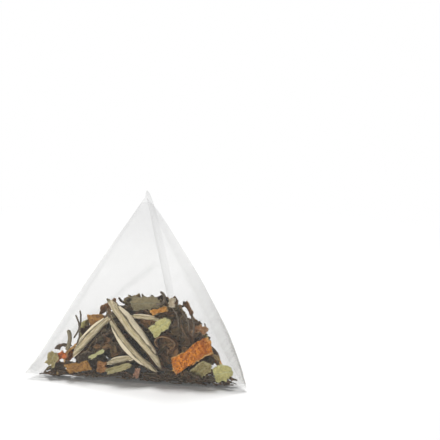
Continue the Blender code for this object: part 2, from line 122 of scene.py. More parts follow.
# How much denser than one wall the cloth looks, and where, in shares of a wall's width and length
RIGHT_DENSE, RIGHT_DENSE_AT, RIGHT_DENSE_WIDTH = 3.8, 0.20, 0.173
LAP_DENSE = 0.5
FOLD_DENSE, FOLD_DENSE_WIDTH = 0.45, 0.012
SEAL_DENSE, SEAL_DENSE_WIDTH = 0.3, 0.02
TOP_CLEAR, TOP_CLEAR_FROM = 0.9, 0.6  # thinner towards the peak, from this share of its height
EDGE_LAYERS, HALF_LAYERS, BACK_LAYERS = 0.7, 0.45, 0.3  # along the sealed strips

# The tea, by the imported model's node names
BUDS = (
    "silver_bud_upper",
    "silver_bud_lower",
    "silver_bud_left",
    "silver_bud_small",
    "silver_bud_top",
    "left_wall_bud_4",
    "right_wall_bud_4",
)
LEAVES = {
    "pale_leaf_middle": "pale",
    "pale_leaf_right": "pale",
    "pale_leaf_strip": "pale",
    "left_wall_leaf_6": "pale",
    "right_wall_leaf_6": "pale",
    "olive_leaf_low": "olive",
    "olive_leaf_right": "olive",
    "toothed_leaf_left": "olive",
    "left_wall_leaf_2": "olive",
    "right_wall_leaf_2": "olive",
    "grey_leaf_top": "grey",
    "brown_leaf_right": "brown",
    "ring_leaf_middle": "brown",
    "left_wall_leaf_8": "brown",
    "right_wall_leaf_8": "brown",
    "dark_leaf_left": "dark",
}
PEEL = {
    "orange_peel_large": "orange",
    "left_wall_chip_3": "orange",
    "right_wall_chip_3": "orange",
    "red_peel_left": "red",
    "yellow_peel_top": "gold",
    "golden_peel_left": "tan",
    "brown_peel_floor": "tan",
    "brown_peel_square": "brown",
    "pink_peel_low": "pink",
    "cream_peel_top": "cream",
}
STEMS = {
    "hook_stem_top": "dark",
    "twig_right_a": "dark",
    "twig_right_b": "dark",
    "twig_right_c": "dark",
    "thin_stem_outer": "dark",
    "thin_stem_inner": "dark",
    "left_wall_stem_7": "dark",
    "right_wall_stem_7": "dark",
    "cut_stem_left": "olive",
}
TWISTS = (
    "twist_left_top",
    "twist_left_edge",
    "twist_left_tip",
    "twist_right_tip",
    "twist_middle_top",
    "twist_behind_buds",
    "twist_left_middle",
    "twist_low_middle",
    "twist_low_left",
    "twist_right_edge",
    "left_wall_twist_1",
    "left_wall_twist_5",
    "right_wall_twist_1",
    "right_wall_twist_5",
)

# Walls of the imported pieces, by which their rims are told from their faces
BUD_WALL = 0.00018
LEAF_WALL = 0.00028
RING_LEAF_WALL = 0.00035
RING_LEAF = "ring_leaf_middle"
RING_TEAR = 0.2  # this share of a flat leaf's tearing
LARGE_CHIP = "orange_peel_large"

# Vein, edge and stain of each kind of leaf
LEAF_SHADES = {
    "pale": ((0.62, 0.62, 0.34), (0.60, 0.58, 0.30), (0.30, 0.22, 0.08)),
    "olive": ((0.45, 0.42, 0.22), (0.52, 0.46, 0.24), (0.10, 0.06, 0.03)),
    "grey": ((0.30, 0.29, 0.19), (0.26, 0.24, 0.16), (0.06, 0.05, 0.04)),
    "brown": ((0.42, 0.27, 0.14), (0.40, 0.26, 0.14), (0.07, 0.04, 0.03)),
    "dark": ((0.16, 0.13, 0.09), (0.26, 0.20, 0.13), (0.02, 0.015, 0.01)),
}
# Pits and pith of each kind of peel
PEEL_SHADES = {
    "orange": ((0.26, 0.036, 0.004), (0.95, 0.58, 0.20)),
    "red": ((0.28, 0.06, 0.022), (0.84, 0.42, 0.16)),
    "gold": ((0.50, 0.17, 0.02), (0.85, 0.55, 0.20)),
    "tan": ((0.20, 0.085, 0.025), (0.66, 0.38, 0.12)),
    "brown": ((0.22, 0.095, 0.036), (0.66, 0.38, 0.16)),
    "pink": ((0.30, 0.14, 0.09), (0.62, 0.42, 0.30)),
    "cream": ((0.46, 0.36, 0.22), (0.78, 0.70, 0.54)),
}
# Bark and its light streaks
STEM_SHADES = {
    "dark": ((0.075, 0.058, 0.045), (0.25, 0.20, 0.14)),
    "olive": ((0.20, 0.17, 0.10), (0.38, 0.32, 0.21)),
}
# Shades of the loose bits, from the darkest on; the first two are made from the dark leaf's own
LOOSE_SHADES = (
    (0.43, (0.140, 0.083, 0.043)),
    (0.58, (0.160, 0.128, 0.062)),
    (0.73, (0.330, 0.165, 0.066)),
    (0.86, (0.280, 0.233, 0.120)),
    (0.95, (0.46, 0.28, 0.10)),
    (1.00, (0.64, 0.52, 0.32)),
)

# How far along X a bud's low end and its rest bend from the node's, in millimetres: the blades meet
BENDS = {"silver_bud_lower": (1.5, -0.5), "silver_bud_upper": (0.6, -1.3)}

# Height of the loose tea along X, in millimetres, as it stands against the front wall
HEAP_TOP = (
    (-30.0, 1.5),
    (-27.8, 5.0),
    (-24.5, 7.0),
    (-19.0, 11.5),
    (-15.6, 15.0),
    (-11.4, 17.2),
    (-4.4, 18.4),
    (2.6, 20.0),
    (8.0, 18.5),
    (11.0, 16.6),
    (18.0, 15.2),
    (21.5, 13.5),
    (24.0, 9.0),
    (28.0, 5.5),
    (30.0, 1.5),
)
HEAP_FALL = 0.35  # how much lower the tea lies at the back

# The stage
TABLE_SIZE = 6.0
WHITE_REACH = (0.075, 0.16)  # from the middle, where the table turns white for the camera
WHITE_LEAST = 0.015
# Place, width and power
LAMPS = {
    "key": ((-0.18, 0.44, 0.80), 0.15, 9.8),
    "front": ((-0.30, -0.85, 0.10), 0.40, 6.5),
}
IMAGE_PX = 440
FRONT_PX = (135.3, 383.5)  # where the photograph shows the front seal's middle


def length(name, description, default):
    return FloatProperty(
        name=name,
        description=description,
        default=default,
        min=0.0,
        precision=5,
        subtype="DISTANCE",
        unit="LENGTH",
    )


def colour(name, description, default):
    return FloatVectorProperty(
        name=name,
        description=description,
        default=default,
        min=0.0,
        max=1.0,
        size=3,
        subtype="COLOR",
    )


def share(name, description, default):
    return FloatProperty(
        name=name, description=description, default=default, min=0.0, max=1.0, subtype="FACTOR"
    )


class ClothSettings(bpy.types.PropertyGroup):
    thickness: length("Thickness", "Thickness of the mesh cloth", 0.0001)
    dents: length("Dents", "How deep the cloth is dented between its folds", 0.00022)
    pleats: length("Pleats", "Height of the small pleats that run out from the seals", 0.00010)
    mesh_pitch: length("Mesh pitch", "From one thread of the cloth to the next", 0.0002)
    veil: share("Veil", "How much of what is behind one face of the cloth is hidden", 0.075)
    tint: colour("Cloth colour", "Colour of the threads", (0.24, 0.24, 0.236))
    thick_tint: colour("Doubled cloth", "Colour where the cloth lies double", (0.33, 0.325, 0.285))


class TeaSettings(bpy.types.PropertyGroup):
    crumple: length("Crumple", "How far a leaf's face is crumpled", 0.00014)
    ragged: length("Ragged edge", "How deep a leaf's edge is torn", 0.00090)
    pits: length("Peel pits", "Depth of the pits in the peel", 0.00013)
    fragments: IntProperty(
        name="Fragments", description="Loose bits of leaf in the heap", default=760, min=0, max=3000
    )
    seed: IntProperty(name="Seed", description="Changes how the loose bits lie", default=7)
    silver: colour("Bud", "Downy grey-green of a young bud", (0.66, 0.53, 0.30))
    # the bud rim colour is pale down, and on the lips it is also a painted highlight
    cream: colour("Bud rim", "Pale down along a bud's rims", (0.98, 0.86, 0.62))
    pale: colour("Pale leaf", "Yellow-green of a dried herb leaf", (0.84, 0.76, 0.30))
    olive: colour("Olive leaf", "Olive of a dried leaf", (0.46, 0.37, 0.155))
    grey: colour("Grey leaf", "Grey-green of a dried leaf", (0.42, 0.345, 0.185))
    brown: colour("Brown leaf", "Brown of a dried leaf", (0.42, 0.20, 0.085))
    dark: colour("Dark leaf", "Near-black brown of a fired tea leaf", (0.088, 0.060, 0.037))
    orange_zest: colour("Orange peel", "Zest of the large chip", (0.93, 0.31, 0.018))
    red_zest: colour("Red peel", "Zest of the red chip", (0.92, 0.24, 0.06))
    gold_zest: colour("Yellow peel", "Zest of the small yellow chip", (0.72, 0.34, 0.06))
    tan_zest: colour("Tan peel", "Golden brown of the older chips", (0.52, 0.265, 0.062))
    brown_zest: colour("Brown peel", "Zest of the brown square chip", (0.60, 0.29, 0.10))
    pink_zest: colour("Pink peel", "Zest of the small pinkish chip", (0.48, 0.27, 0.17))
    cream_zest: colour("Cream peel", "Zest of the pale chip at the top", (0.70, 0.60, 0.44))


class StageSettings(bpy.types.PropertyGroup):
    floor: colour("Floor", "Colour of the table", (0.93, 0.93, 0.925))
    sky: share("Room light", "Even light from all round", 0.15)
    yaw: FloatProperty(
        name="Camera yaw", description="Round the bag", default=math.radians(12), subtype="ANGLE"
    )
    elevation: FloatProperty(
        name="Camera height", description="Above the table", default=math.radians(17), subtype="ANGLE"
    )
    distance: length("Camera distance", "From the camera to the bag", 1.2)
    frame_width: length("View width", "Width that the camera sees at the bag", 0.12256)


# Materials

SEEN_RAYS = ("Is Camera Ray", "Is Glossy Ray", "Is Transmission Ray")
VECTOR, VALUE = 1, 2  # outputs of the Attribute node


class Wire:
    """A socket that takes part in sums: each operator adds its Math node."""

    def __init__(self, graph, socket):
        self.graph = graph
        self.socket = socket

    def __add__(self, other):
        return self.graph.maths("ADD", self, other)

    def __radd__(self, other):
        return self.graph.maths("ADD", other, self)

    def __sub__(self, other):
        return self.graph.maths("SUBTRACT", self, other)

    def __rsub__(self, other):
        return self.graph.maths("SUBTRACT", other, self)

    def __mul__(self, other):
        return self.graph.maths("MULTIPLY", self, other)

    def __abs__(self):
        return self.graph.maths("ABSOLUTE", self)


class Graph:
    """A node tree that nodes are added to."""

    def __init__(self, tree):
        self.tree = tree

    def node(self, kind, settings=None, values=None, output=0):
        """Adds a node: its type and settings, then its sockets' values or links."""
        made = self.tree.nodes.new(kind)
        for key, value in (settings or {}).items():
            if key == "stops":
                self.set_stops(made.color_ramp, value)
            else:
                setattr(made, key, value)
        for key, value in (values or {}).items():
            self.feed(made.inputs[key], value)
        return Wire(self, made.outputs[output])

    def set_stops(self, ramp, stops):
        while len(ramp.elements) < len(stops):
            ramp.elements.new(0.5)
        for element, (place, shade) in zip(ramp.elements, stops):
            element.position = place
            element.color = (*shade, 1)

    def feed(self, socket, value):
        """Links a wire to a socket, or sets its plain value."""
        if isinstance(value, Wire):
            self.tree.links.new(value.socket, socket)
        elif hasattr(value, "__len__") and len(value) == 3 and socket.type == "RGBA":
            socket.default_value = (*value, 1)
        else:
            socket.default_value = value

    def maths(self, operation, *values):
        return self.node("ShaderNodeMath", {"operation": operation}, dict(enumerate(values)))

    def seen(self):
        """1 on what the camera sees straight, in a mirror or through the cloth, and 0 elsewhere."""
        rays = [self.node("ShaderNodeLightPath", output=ray) for ray in SEEN_RAYS]
        return self.maths("MINIMUM", sum(rays), 1.0)


class Finish(Graph):
    """A material under construction, with its Principled shader's plain values set first."""

    def __init__(self, name, roughness=0.7, **plain):
        self.material = bpy.data.materials.new(name)
        self.material.use_nodes = True
        super().__init__(self.material.node_tree)
        self.shader = self.tree.nodes["Principled BSDF"]
        self.shader.inputs["Roughness"].default_value = roughness
        self.set(**plain)

    def set(self, **links):
        for socket, value in links.items():
            self.feed(self.shader.inputs[socket.replace("_", " ")], value)

    def attribute(self, name, output):
        return self.node("ShaderNodeAttribute", {"attribute_name": name}, output=output)

    def part(self, vector, axis):
        return self.node("ShaderNodeSeparateXYZ", {}, {0: vector}, output=axis)

    def stretched(self, vector, scale):
        return self.node("ShaderNodeVectorMath", {"operation": "MULTIPLY"}, {0: vector, 1: scale})

    def noise(self, vector, scale=1.0, detail=3.0, roughness=0.6):
        values = {"Vector": vector, "Scale": scale, "Detail": detail, "Roughness": roughness}
        return self.node("ShaderNodeTexNoise", {}, values)

    def cells(self, vector, scale=1.0):
        values = {"Vector": vector, "Scale": scale}
        return self.node("ShaderNodeTexVoronoi", {}, values)

    def between(self, value, low, high):
        """0 at the low value and 1 at the high one, with a soft step between them."""
        settings = {"interpolation_type": "SMOOTHSTEP"}
        values = {"Value": value, "From Min": low, "From Max": high}
        return self.node("ShaderNodeMapRange", settings, values)

    def mix(self, factor, first, second):
        return self.node("ShaderNodeMix", {"data_type": "RGBA"}, {0: factor, 6: first, 7: second}, output=2)

    def over(self, body, shade, amount, mask, low, high):
        """Lays a shade over the body by an amount, where the mask rises from low to high."""
        return self.mix(self.between(mask, low, high) * amount, body, shade)

    def under(self, body, shade, amount, mask, low, high):
        """Lays a shade over the body by an amount, where the mask falls from high to low."""
        return self.mix((1 - self.between(mask, low, high)) * amount, body, shade)

    def bump(self, height, distance, strength=1.0):
        values = {"Height": height, "Distance": distance, "Strength": strength}
        return self.node("ShaderNodeBump", {}, values)


def darker(shade, factor):
    """A shade times a factor."""
    return tuple(part * factor for part in shade)


def blended(first, second, factor):
    """A shade between two others."""
    return tuple(a + (b - a) * factor for a, b in zip(first, second))


def bud_finish(tea):
    """Downy young leaf: khaki streaks, a pale lip along each side that is partly pale down and partly
    painted highlight, with painted shade in the crease behind it and at its open end.
    """
    finish = Finish("silver_bud", roughness=0.8, Sheen_Weight=0.2, Specular_IOR_Level=0.25)
    silver, cream = tuple(tea.silver), tuple(tea.cream)
    grain = finish.attribute("grain", VECTOR)
    along = finish.attribute("along", VALUE)
    far = abs(finish.attribute("side", VALUE))
    streak = finish.noise(finish.stretched(grain, (0.16, 2.2, 2.2)), detail=3)
    fine = finish.noise(finish.stretched(grain, (0.8, 8.0, 8.0)), detail=3)
    patch = finish.noise(grain, scale=0.45)
    wander = (streak - 0.5) * 0.35
    body = finish.mix(finish.between(streak, 0.36, 0.60), darker(silver, 0.48), silver)
    body = finish.over(body, (0.32, 0.30, 0.13), 0.5, patch, 0.46, 0.66)
    body = finish.over(body, cream, 0.75, fine, 0.46, 0.66)
    # painted shade: the crease behind each lip is darkened along its groove
    crease = finish.between(far + wander, 0.54, 0.64) * (1 - finish.between(far + wander, 0.70, 0.78))
    body = finish.mix(crease * 0.85, body, (0.09, 0.075, 0.045))
    # the lip's pale colour is partly pale down and partly painted highlight on the raised lip
    body = finish.over(body, cream, 0.95, far + wander * 0.6, 0.72, 0.84)
    body = finish.under(body, cream, 0.4, far + wander * 0.5, 0.04, 0.22)
    # painted shade: the bud's open, hollow end is darkened
    body = finish.over(body, (0.12, 0.105, 0.07), 0.85, along + (patch - 0.5) * 0.1, 0.86, 0.95)
    finish.set(Base_Color=body, Normal=finish.bump(streak * 0.7 + fine * 0.3, 0.00010))
    return finish.material


def leaf_finish(name, shade, vein, edge, stain):
    """Dry leaf: mottled, with a midrib, side veins, a fine net and a paler torn edge."""
    finish = Finish(f"{name}_leaf", roughness=0.68, Specular_IOR_Level=0.3)
    grain = finish.attribute("grain", VECTOR)
    rim = finish.attribute("edge", VALUE)
    wander = finish.noise(grain, scale=0.7)
    off = abs(finish.part(grain, 1) + (wander - 0.5) * 0.9)
    midrib = 1 - finish.between(off, 0.05, 0.22)
    lines = finish.maths("SINE", (finish.part(grain, 0) - off * 0.85 + wander * 0.8) * 6.5)
    ribs = finish.between(lines, 0.72, 0.98) * (1 - finish.between(off, 1.2, 2.4))
    veins = midrib + ribs * 0.6
    net = finish.cells(grain, scale=3.2)
    mottle = finish.noise(grain, scale=1.3, detail=5, roughness=0.68)
    speck = finish.noise(grain, scale=6.0, detail=2)
    body = finish.mix(finish.between(mottle, 0.34, 0.66), darker(shade, 0.50), shade)
    body = finish.over(body, stain, 0.45, speck, 0.58, 0.72)
    body = finish.over(body, darker(shade, 0.6), 0.25, net, 0.25, 0.55)
    body = finish.mix(veins * 0.7, body, vein)
    body = finish.over(body, edge, 0.8, rim + (mottle - 0.5) * 0.5, 0.55, 0.95)
    height = mottle * 0.5 + veins * 0.35 - net * 0.25
    finish.set(
        Base_Color=body,
        Roughness=0.55 + mottle * 0.3,
        Normal=finish.bump(height, 0.00014),
    )
    return finish.material


def peel_finish(name, zest, pit, pith):
    """Dried citrus peel: pitted zest with aged patches, and pale fibrous cut edges."""
    finish = Finish(f"{name}_peel", roughness=0.55, Specular_IOR_Level=0.4)
    grain = finish.attribute("grain", VECTOR)
    side = finish.attribute("edge", VALUE)
    far = finish.attribute("far", VALUE)
    pits = finish.cells(grain, scale=1.35)
    small = finish.cells(grain, scale=3.1)
    mottle = finish.noise(grain, scale=0.9, detail=4, roughness=0.7)
    fibre = finish.noise(grain, scale=3.4, detail=5, roughness=0.7)
    aged = finish.noise(grain, scale=0.38, detail=2)
    body = finish.mix(finish.between(mottle, 0.42, 0.58), blended(darker(zest, 0.72), pit, 0.55), zest)
    body = finish.under(body, pit, 0.9, pits, 0.18, 0.40)
    body = finish.under(body, pit, 0.5, small, 0.10, 0.34)
    body = finish.over(body, blended(zest, pith, 0.75), 0.65, fibre, 0.54, 0.66)
    body = finish.over(body, darker(pit, 1.15), 0.45, aged, 0.52, 0.64)
    cut = finish.between(side + (fibre - 0.5) * 0.5, 0.45, 0.75)
    worn = finish.between(far + (fibre - 0.5) * 0.5, 0.78, 0.94) * 0.85
    inside = finish.mix(finish.between(fibre, 0.35, 0.6), darker(pith, 0.6), pith)
    body = finish.mix(finish.maths("MAXIMUM", cut, worn), body, inside)
    height = fibre * 0.5 + finish.between(pits, 0.05, 0.4) * 0.5
    finish.set(Base_Color=body, Roughness=0.45 + fibre * 0.35, Normal=finish.bump(height, 0.00030))
    return finish.material


def stem_finish(name, bark, light):
    """Dry stalk: bark with lengthwise streaks and a few dark rings."""
    finish = Finish(f"{name}_stem", roughness=0.7, Specular_IOR_Level=0.3)
    grain = finish.attribute("grain", VECTOR)
    tint = finish.attribute("tint", VALUE)
    streak = finish.noise(finish.stretched(grain, (0.5, 7.0, 7.0)), detail=4)
    ring = finish.noise(finish.stretched(grain, (2.2, 0.8, 0.8)), detail=2)
    body = finish.mix(finish.between(streak, 0.38, 0.66), bark, light)
    body = finish.over(body, darker(bark, 0.5), 0.6, ring, 0.58, 0.70)
    body = finish.mix(tint * 0.35, body, darker(light, 0.8))
    finish.set(Base_Color=body, Normal=finish.bump(streak * 0.7 + ring * 0.4, 0.0001))
    return finish.material


def fired_finish(tea, name, deep):
    """Fired tea leaf: a different shade for each bit, with lengthwise creases, lighter streaks on its
    ridges and a painted highlight along each bit's rim; deep mixes it towards near black as painted shade.
    """
    finish = Finish(name, roughness=0.6, Specular_IOR_Level=0.45)
    dark = tuple(tea.dark)
    grain = finish.attribute("grain", VECTOR)
    rim = finish.attribute("edge", VALUE)
    tint = finish.attribute("tint", VALUE)
    stops = ((0.00, darker(dark, 0.45)), (0.25, dark), *LOOSE_SHADES)
    shade = finish.node("ShaderNodeValToRGB", {"stops": stops}, {0: tint})
    streak = finish.noise(finish.stretched(grain, (0.16, 0.75, 0.75)), detail=2)
    patch = finish.noise(grain, scale=0.40, detail=3)
    body = finish.mix(finish.between(streak, 0.34, 0.50) * 0.6 + 0.4, darker(dark, 0.4), shade)
    body = finish.over(body, (0.115, 0.100, 0.045), 0.5, patch, 0.50, 0.66)
    body = finish.under(body, (0.20, 0.085, 0.032), 0.4, patch, 0.34, 0.46)
    body = finish.over(body, (0.30, 0.20, 0.105), 0.22, streak, 0.58, 0.72)
    # painted highlight: a lighter colour along each bit's rim
    body = finish.over(body, (0.32, 0.235, 0.13), 0.14, rim, 0.80, 1.0)
    # painted shade: deep mixes the colour towards near black, for the dark gaps between the bits
    body = finish.mix(deep, body, (0.010, 0.008, 0.006))
    finish.set(
        Base_Color=body,
        Roughness=0.46 + streak * 0.35,
        Normal=finish.bump(streak * 0.7 + patch * 0.3, 0.00022),
    )
    return finish.material


def cloth_finish(cloth):
    """Fine nylon mesh: threads that hide a little of what is behind, more where the cloth is double."""
    finish = Finish("mesh_cloth", roughness=0.5, Specular_IOR_Level=0.2, IOR=1.35)
    weave = finish.attribute("weave", VECTOR)
    layers = finish.attribute("layers", VALUE)
    pitch = 2 * math.pi * MM / cloth.mesh_pitch
    lines = [finish.maths("COSINE", finish.part(weave, axis) * pitch) for axis in (0, 1)]
    threads = finish.maths("MAXIMUM", *lines)
    cloud = finish.noise(finish.stretched(weave, (0.16, 0.05, 1.0)), detail=3)
    streak = finish.noise(finish.stretched(weave, (1.2, 0.06, 1.0)), detail=3)
    thick = finish.between(layers, 1.2, 2.2)
    density = layers * cloth.veil * (0.8 + cloud * 0.2 + streak * 0.2)
    density = density * (1 + (streak - 0.5) * thick * 0.9)
    alpha = density * (1 + threads * 0.45)
    shade = finish.mix(thick, tuple(cloth.tint), tuple(cloth.thick_tint))
    finish.set(Base_Color=shade, Alpha=alpha, Normal=finish.bump(threads, 0.00002, 0.6))
    return finish.material


# Meshes and pieces

EDGE_WIDTH = 1.1  # in millimetres, how far in from a leaf's rim its paler finish reaches
TEAR_DEPTH = 1.7  # in millimetres, how far in from its rim a leaf is torn
SEED_STEP = 40  # times a piece's shade, so that no two pieces are crumpled alike
GRAIN_STEP = 20  # times a bit's shade, so that no two bits share a pattern

# Where a point lies on a piece: off the middle line, away from the middle, and in from the rim
Spot = namedtuple("Spot", "side far inward")


def set_values(mesh, name, kind, values):
    """Keeps a value for each point of a mesh, for its finish to read."""
    layer = mesh.attributes.new(name, kind, "POINT")
    field = "vector" if kind == "FLOAT_VECTOR" else "value"
    layer.data.foreach_set(field, np.asarray(values, dtype=np.float32).ravel())


def places_of(mesh):
    """A mesh's points as an array."""
    found = np.empty(3 * len(mesh.vertices))
    mesh.vertices.foreach_get("co", found)
    return found.reshape(-1, 3)


def own_axes(points):
    """A piece's middle and its long, cross and thin directions, from how its points spread."""
    centre = points.mean(axis=0)
    _, ways = np.linalg.eigh(np.cov((points - centre).T))
    axes = ways.T[::-1].copy()
    for axis in axes[:2]:
        lead = axis[2] if abs(axis[2]) > 0.15 else axis[np.argmax(np.abs(axis))]
        axis *= 1.0 if lead > 0 else -1.0
    axes[2] = np.cross(axes[0], axes[1])
    return centre, axes


def cut_by_node(node):
    """The node's own solid, welded, with its triangles joined into quads."""
    source = NODES[node].data
    bm = bmesh.new()
    corners = [bm.verts.new(vertex.co) for vertex in source.vertices]
    for face in source.polygons:
        bm.faces.new([corners[i] for i in face.vertices])
    bmesh.ops.remove_doubles(bm, verts=bm.verts, dist=2e-6)
    bmesh.ops.join_triangles(
        bm,
        faces=bm.faces,
        angle_face_threshold=math.radians(45),
        angle_shape_threshold=math.radians(70),
    )
    bmesh.ops.recalc_face_normals(bm, faces=bm.faces)
    return bm


def rim_tree(bm, wall):
    """A search tree of the narrow faces along a thin piece's edge."""
    corners = [vertex.co.copy() for vertex in bm.verts]
    bm.verts.index_update()
    narrow = [
        [vertex.index for vertex in face.verts]
        for face in bm.faces
        if min(edge.calc_length() for edge in face.edges) < 1.3 * wall
    ]
    return BVHTree.FromPolygons(corners, narrow)


def divide(bm, name, levels):
    """A smooth, finely divided mesh from a coarse one."""
    coarse = bpy.data.meshes.new(name)
    bm.to_mesh(coarse)
    bm.free()
    holder = bpy.data.objects.new(name, coarse)
    bpy.context.scene.collection.objects.link(holder)
    smooth = holder.modifiers.new("smooth", "SUBSURF")
    smooth.levels = levels
    smooth.render_levels = levels
    mesh = bpy.data.meshes.new_from_object(
        holder.evaluated_get(bpy.context.evaluated_depsgraph_get())
    )
    bpy.data.objects.remove(holder)
    bpy.data.meshes.remove(coarse)
    return mesh


def tint_of(name):
    """A number from 0 to 1 that stays the same for a name."""
    return random.Random(name).random()


def add_piece(name, mesh, material, nodes=()):
    """Adds a mesh as a piece of the model, in place of the nodes if there are any."""
    mesh.name = name
    mesh.materials.clear()
    mesh.materials.append(material)
    mesh.polygons.foreach_set("use_smooth", [True] * len(mesh.polygons))
    piece = bpy.data.objects.new(name, mesh)
    bpy.context.scene.collection.objects.link(piece)
    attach(piece, "root")
    if nodes:
        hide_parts(*nodes)
    return piece


def side_of(local):
    """How far each point lies from a long piece's middle line, 0 to 1 at its widest there."""
    spots = np.linspace(local[:, 0].min(), local[:, 0].max(), 30)
    pitch = spots[1] - spots[0]
    widest = [np.abs(local[np.abs(local[:, 0] - spot) < pitch, 1]).max() for spot in spots]
    return local[:, 1] / np.maximum(np.interp(local[:, 0], spots, widest), 0.02)


def noises(points, scale, shift=0.0):
    """Smooth noise at each point, from -1 to 1."""
    return np.array([noise.noise(Vector(point) * scale + UP * shift) for point in points])


def dress(node, material, levels, move, wall=0.0):
    """Replaces a node with a finer one.

    move gives a point's offset from its place, from where it lies on the piece and from the piece's seed,
    all in millimetres and along the piece's own axes. A thin piece's wall tells its rim from its faces.
    """
    bm = cut_by_node(node)
    rim = rim_tree(bm, wall) if wall else None
    mesh = divide(bm, f"{node}_detail", levels)
    points = places_of(mesh)
    centre, axes = own_axes(points)
    local = (points - centre) @ axes.T / MM
    along = local[:, 0] / np.abs(local[:, 0]).max()
    side = side_of(local)
    far = np.maximum(np.abs(along), np.abs(side))
    if rim:
        inward = np.array([rim.find_nearest(Vector(point))[3] or 0.0 for point in points]) / MM
        edge = np.clip(1 - inward / EDGE_WIDTH, 0, 1)
    else:
        normals = np.empty(3 * len(points))
        mesh.vertices.foreach_get("normal", normals)
        inward = np.zeros(len(points))
        edge = 1 - np.abs(normals.reshape(-1, 3) @ axes[2])
    seed = SEED_STEP * tint_of(node)
    spots = [Spot(*spot) for spot in zip(side, far, inward)]
    offsets = np.array([move(place, spot, seed) for place, spot in zip(local, spots)])
    points = points + (offsets * MM) @ axes
    low, rest = BENDS.get(node, (0, 0))
    points[:, 0] += low * MM * np.clip(-along, 0, 1) ** 2
    points[:, 0] += rest * MM * np.clip((along + 0.7) / 0.8, 0, 1)
    mesh.vertices.foreach_set("co", points.ravel())
    set_values(mesh, "grain", "FLOAT_VECTOR", local)
    values = {
        "edge": edge,
        "tint": np.full(len(points), tint_of(node)),
        "side": side,
        "far": far,
        "along": along,
    }
    for name, numbers in values.items():
        set_values(mesh, name, "FLOAT", numbers)
    mesh.update()
    return add_piece(f"{node}_detail", mesh, material, [node])


def wave(place, scale, seed):
    """Smooth noise at one place, different for each seed."""
    return noise.noise(Vector((place[0], place[1], place[2] + seed)) * scale)


def hump(value, middle, width):
    """1 at the middle and nothing well beyond the width."""
    return math.exp(-(((value - middle) / width) ** 2))


def bud_move(place, spot, seed):
    """A raised lip along each side with a crease behind it, soft ridges and a slight wave."""
    lean = 0.06 * math.sin(0.7 * place[0] + seed)
    off = abs(spot.side + lean)
    lip = 0.13 * hump(off, 0.90, 0.08)
    crease = -0.16 * hump(off, 0.72, 0.07)
    ridge = 0.06 * hump(spot.side, lean, 0.16) + 0.02 * math.sin(17 * spot.side)
    angle = math.atan2(place[2] + 0.4, place[1])
    out = lip + crease + ridge
    bend = 0.07 * wave(place, 0.4, seed)
    return (0, out * math.cos(angle) + bend, out * math.sin(angle) + bend)


def leaf_move(tea, torn):
    """How a flat leaf's points are moved, torn more or less."""
    crumple, ragged = tea.crumple / MM, torn * tea.ragged / MM

    def move(place, spot, seed):
        """Crumples the face and tears the edge, inwards only."""
        face = 1.3 * wave(place, 0.5, seed) + wave(place, 1.1, seed) + 0.4 * wave(place, 2.4, seed)
        rib = 0.05 * hump(place[1], 0, 0.18)
        out = math.hypot(place[0], place[1]) or 1.0
        flat = (place[0], place[1], 0)
        bite = max(0.0, 0.12 + wave(flat, 0.55, seed + 9))
        tooth = max(0.0, 0.1 + wave(flat, 1.5, seed + 4))
        tear = -ragged * (1.1 * bite + 0.8 * tooth) * max(0.0, 1 - spot.inward / TEAR_DEPTH)
        tear = max(tear, -0.75 * out)
        return (tear * place[0] / out, tear * place[1] / out, crumple * face + rib)

    return move


def peel_move(tea):
    """How a peel chip's points are moved."""
    depth = tea.pits / MM

    def move(place, spot, seed):
        """Pits the zest, roughens the cut edges and tears the outline, inwards only."""
        rough = depth * (wave(place, 1.1, seed) + 1.1 * wave(place, 2.6, seed))
        out = math.hypot(place[0], place[1]) or 1.0
        flat = (place[0], place[1], 0)
        torn = max(0.0, wave(flat, 0.6, seed) + 0.05) + 0.6 * max(0.0, wave(flat, 1.9, seed))
        side = -15.0 * depth * torn * max(0.0, (spot.far - 0.6) / 0.4)
        sign = 1 if place[2] > 0 else -1
        dip = sign * (rough - 0.25 * depth)
        curl = 1.2 * depth * wave(flat, 0.35, seed + 3)
        return (side * place[0] / out, side * place[1] / out, dip + curl)

    return move


def stem_move(place, spot, seed):
    """Small knots and bends."""
    middle = (place[0], 0, 0)
    return (0.0, 0.07 * wave(middle, 0.9, seed), 0.07 * wave(middle, 0.9, seed + 5))


# Curled leaves, made from a rolled strip

ROLLED_CELLS = (46, 18)
BROAD_CELLS = (23, 13)
CURLED_CELLS = (11, 7)
TWIG_CELLS = (7, 5)
LOOSE_WALL = 0.00014
ROLLED_WALL = 0.00016
ROLL_LAYERS = 2
LINE_BINS = 7  # slices in which a twist's middle line is found


def strip_faces(rows, columns):
    """Faces of a closed thin strip: its front, its back and its rim, for two grids of points."""
    count = rows * columns
    index = np.arange(count).reshape(rows, columns)
    a, b = index[:-1, :-1].ravel(), index[1:, :-1].ravel()
    c, d = index[1:, 1:].ravel(), index[:-1, 1:].ravel()
    front = np.stack([a, b, c, d], axis=1)
    back = front[:, ::-1] + count
    ring = np.concatenate([index[0, :-1], index[:-1, -1], index[-1, :0:-1], index[:0:-1, 0]])
    following = np.roll(ring, -1)
    rim = np.stack([ring, following, following + count, ring + count], axis=1)
    return np.concatenate([front, back, rim])


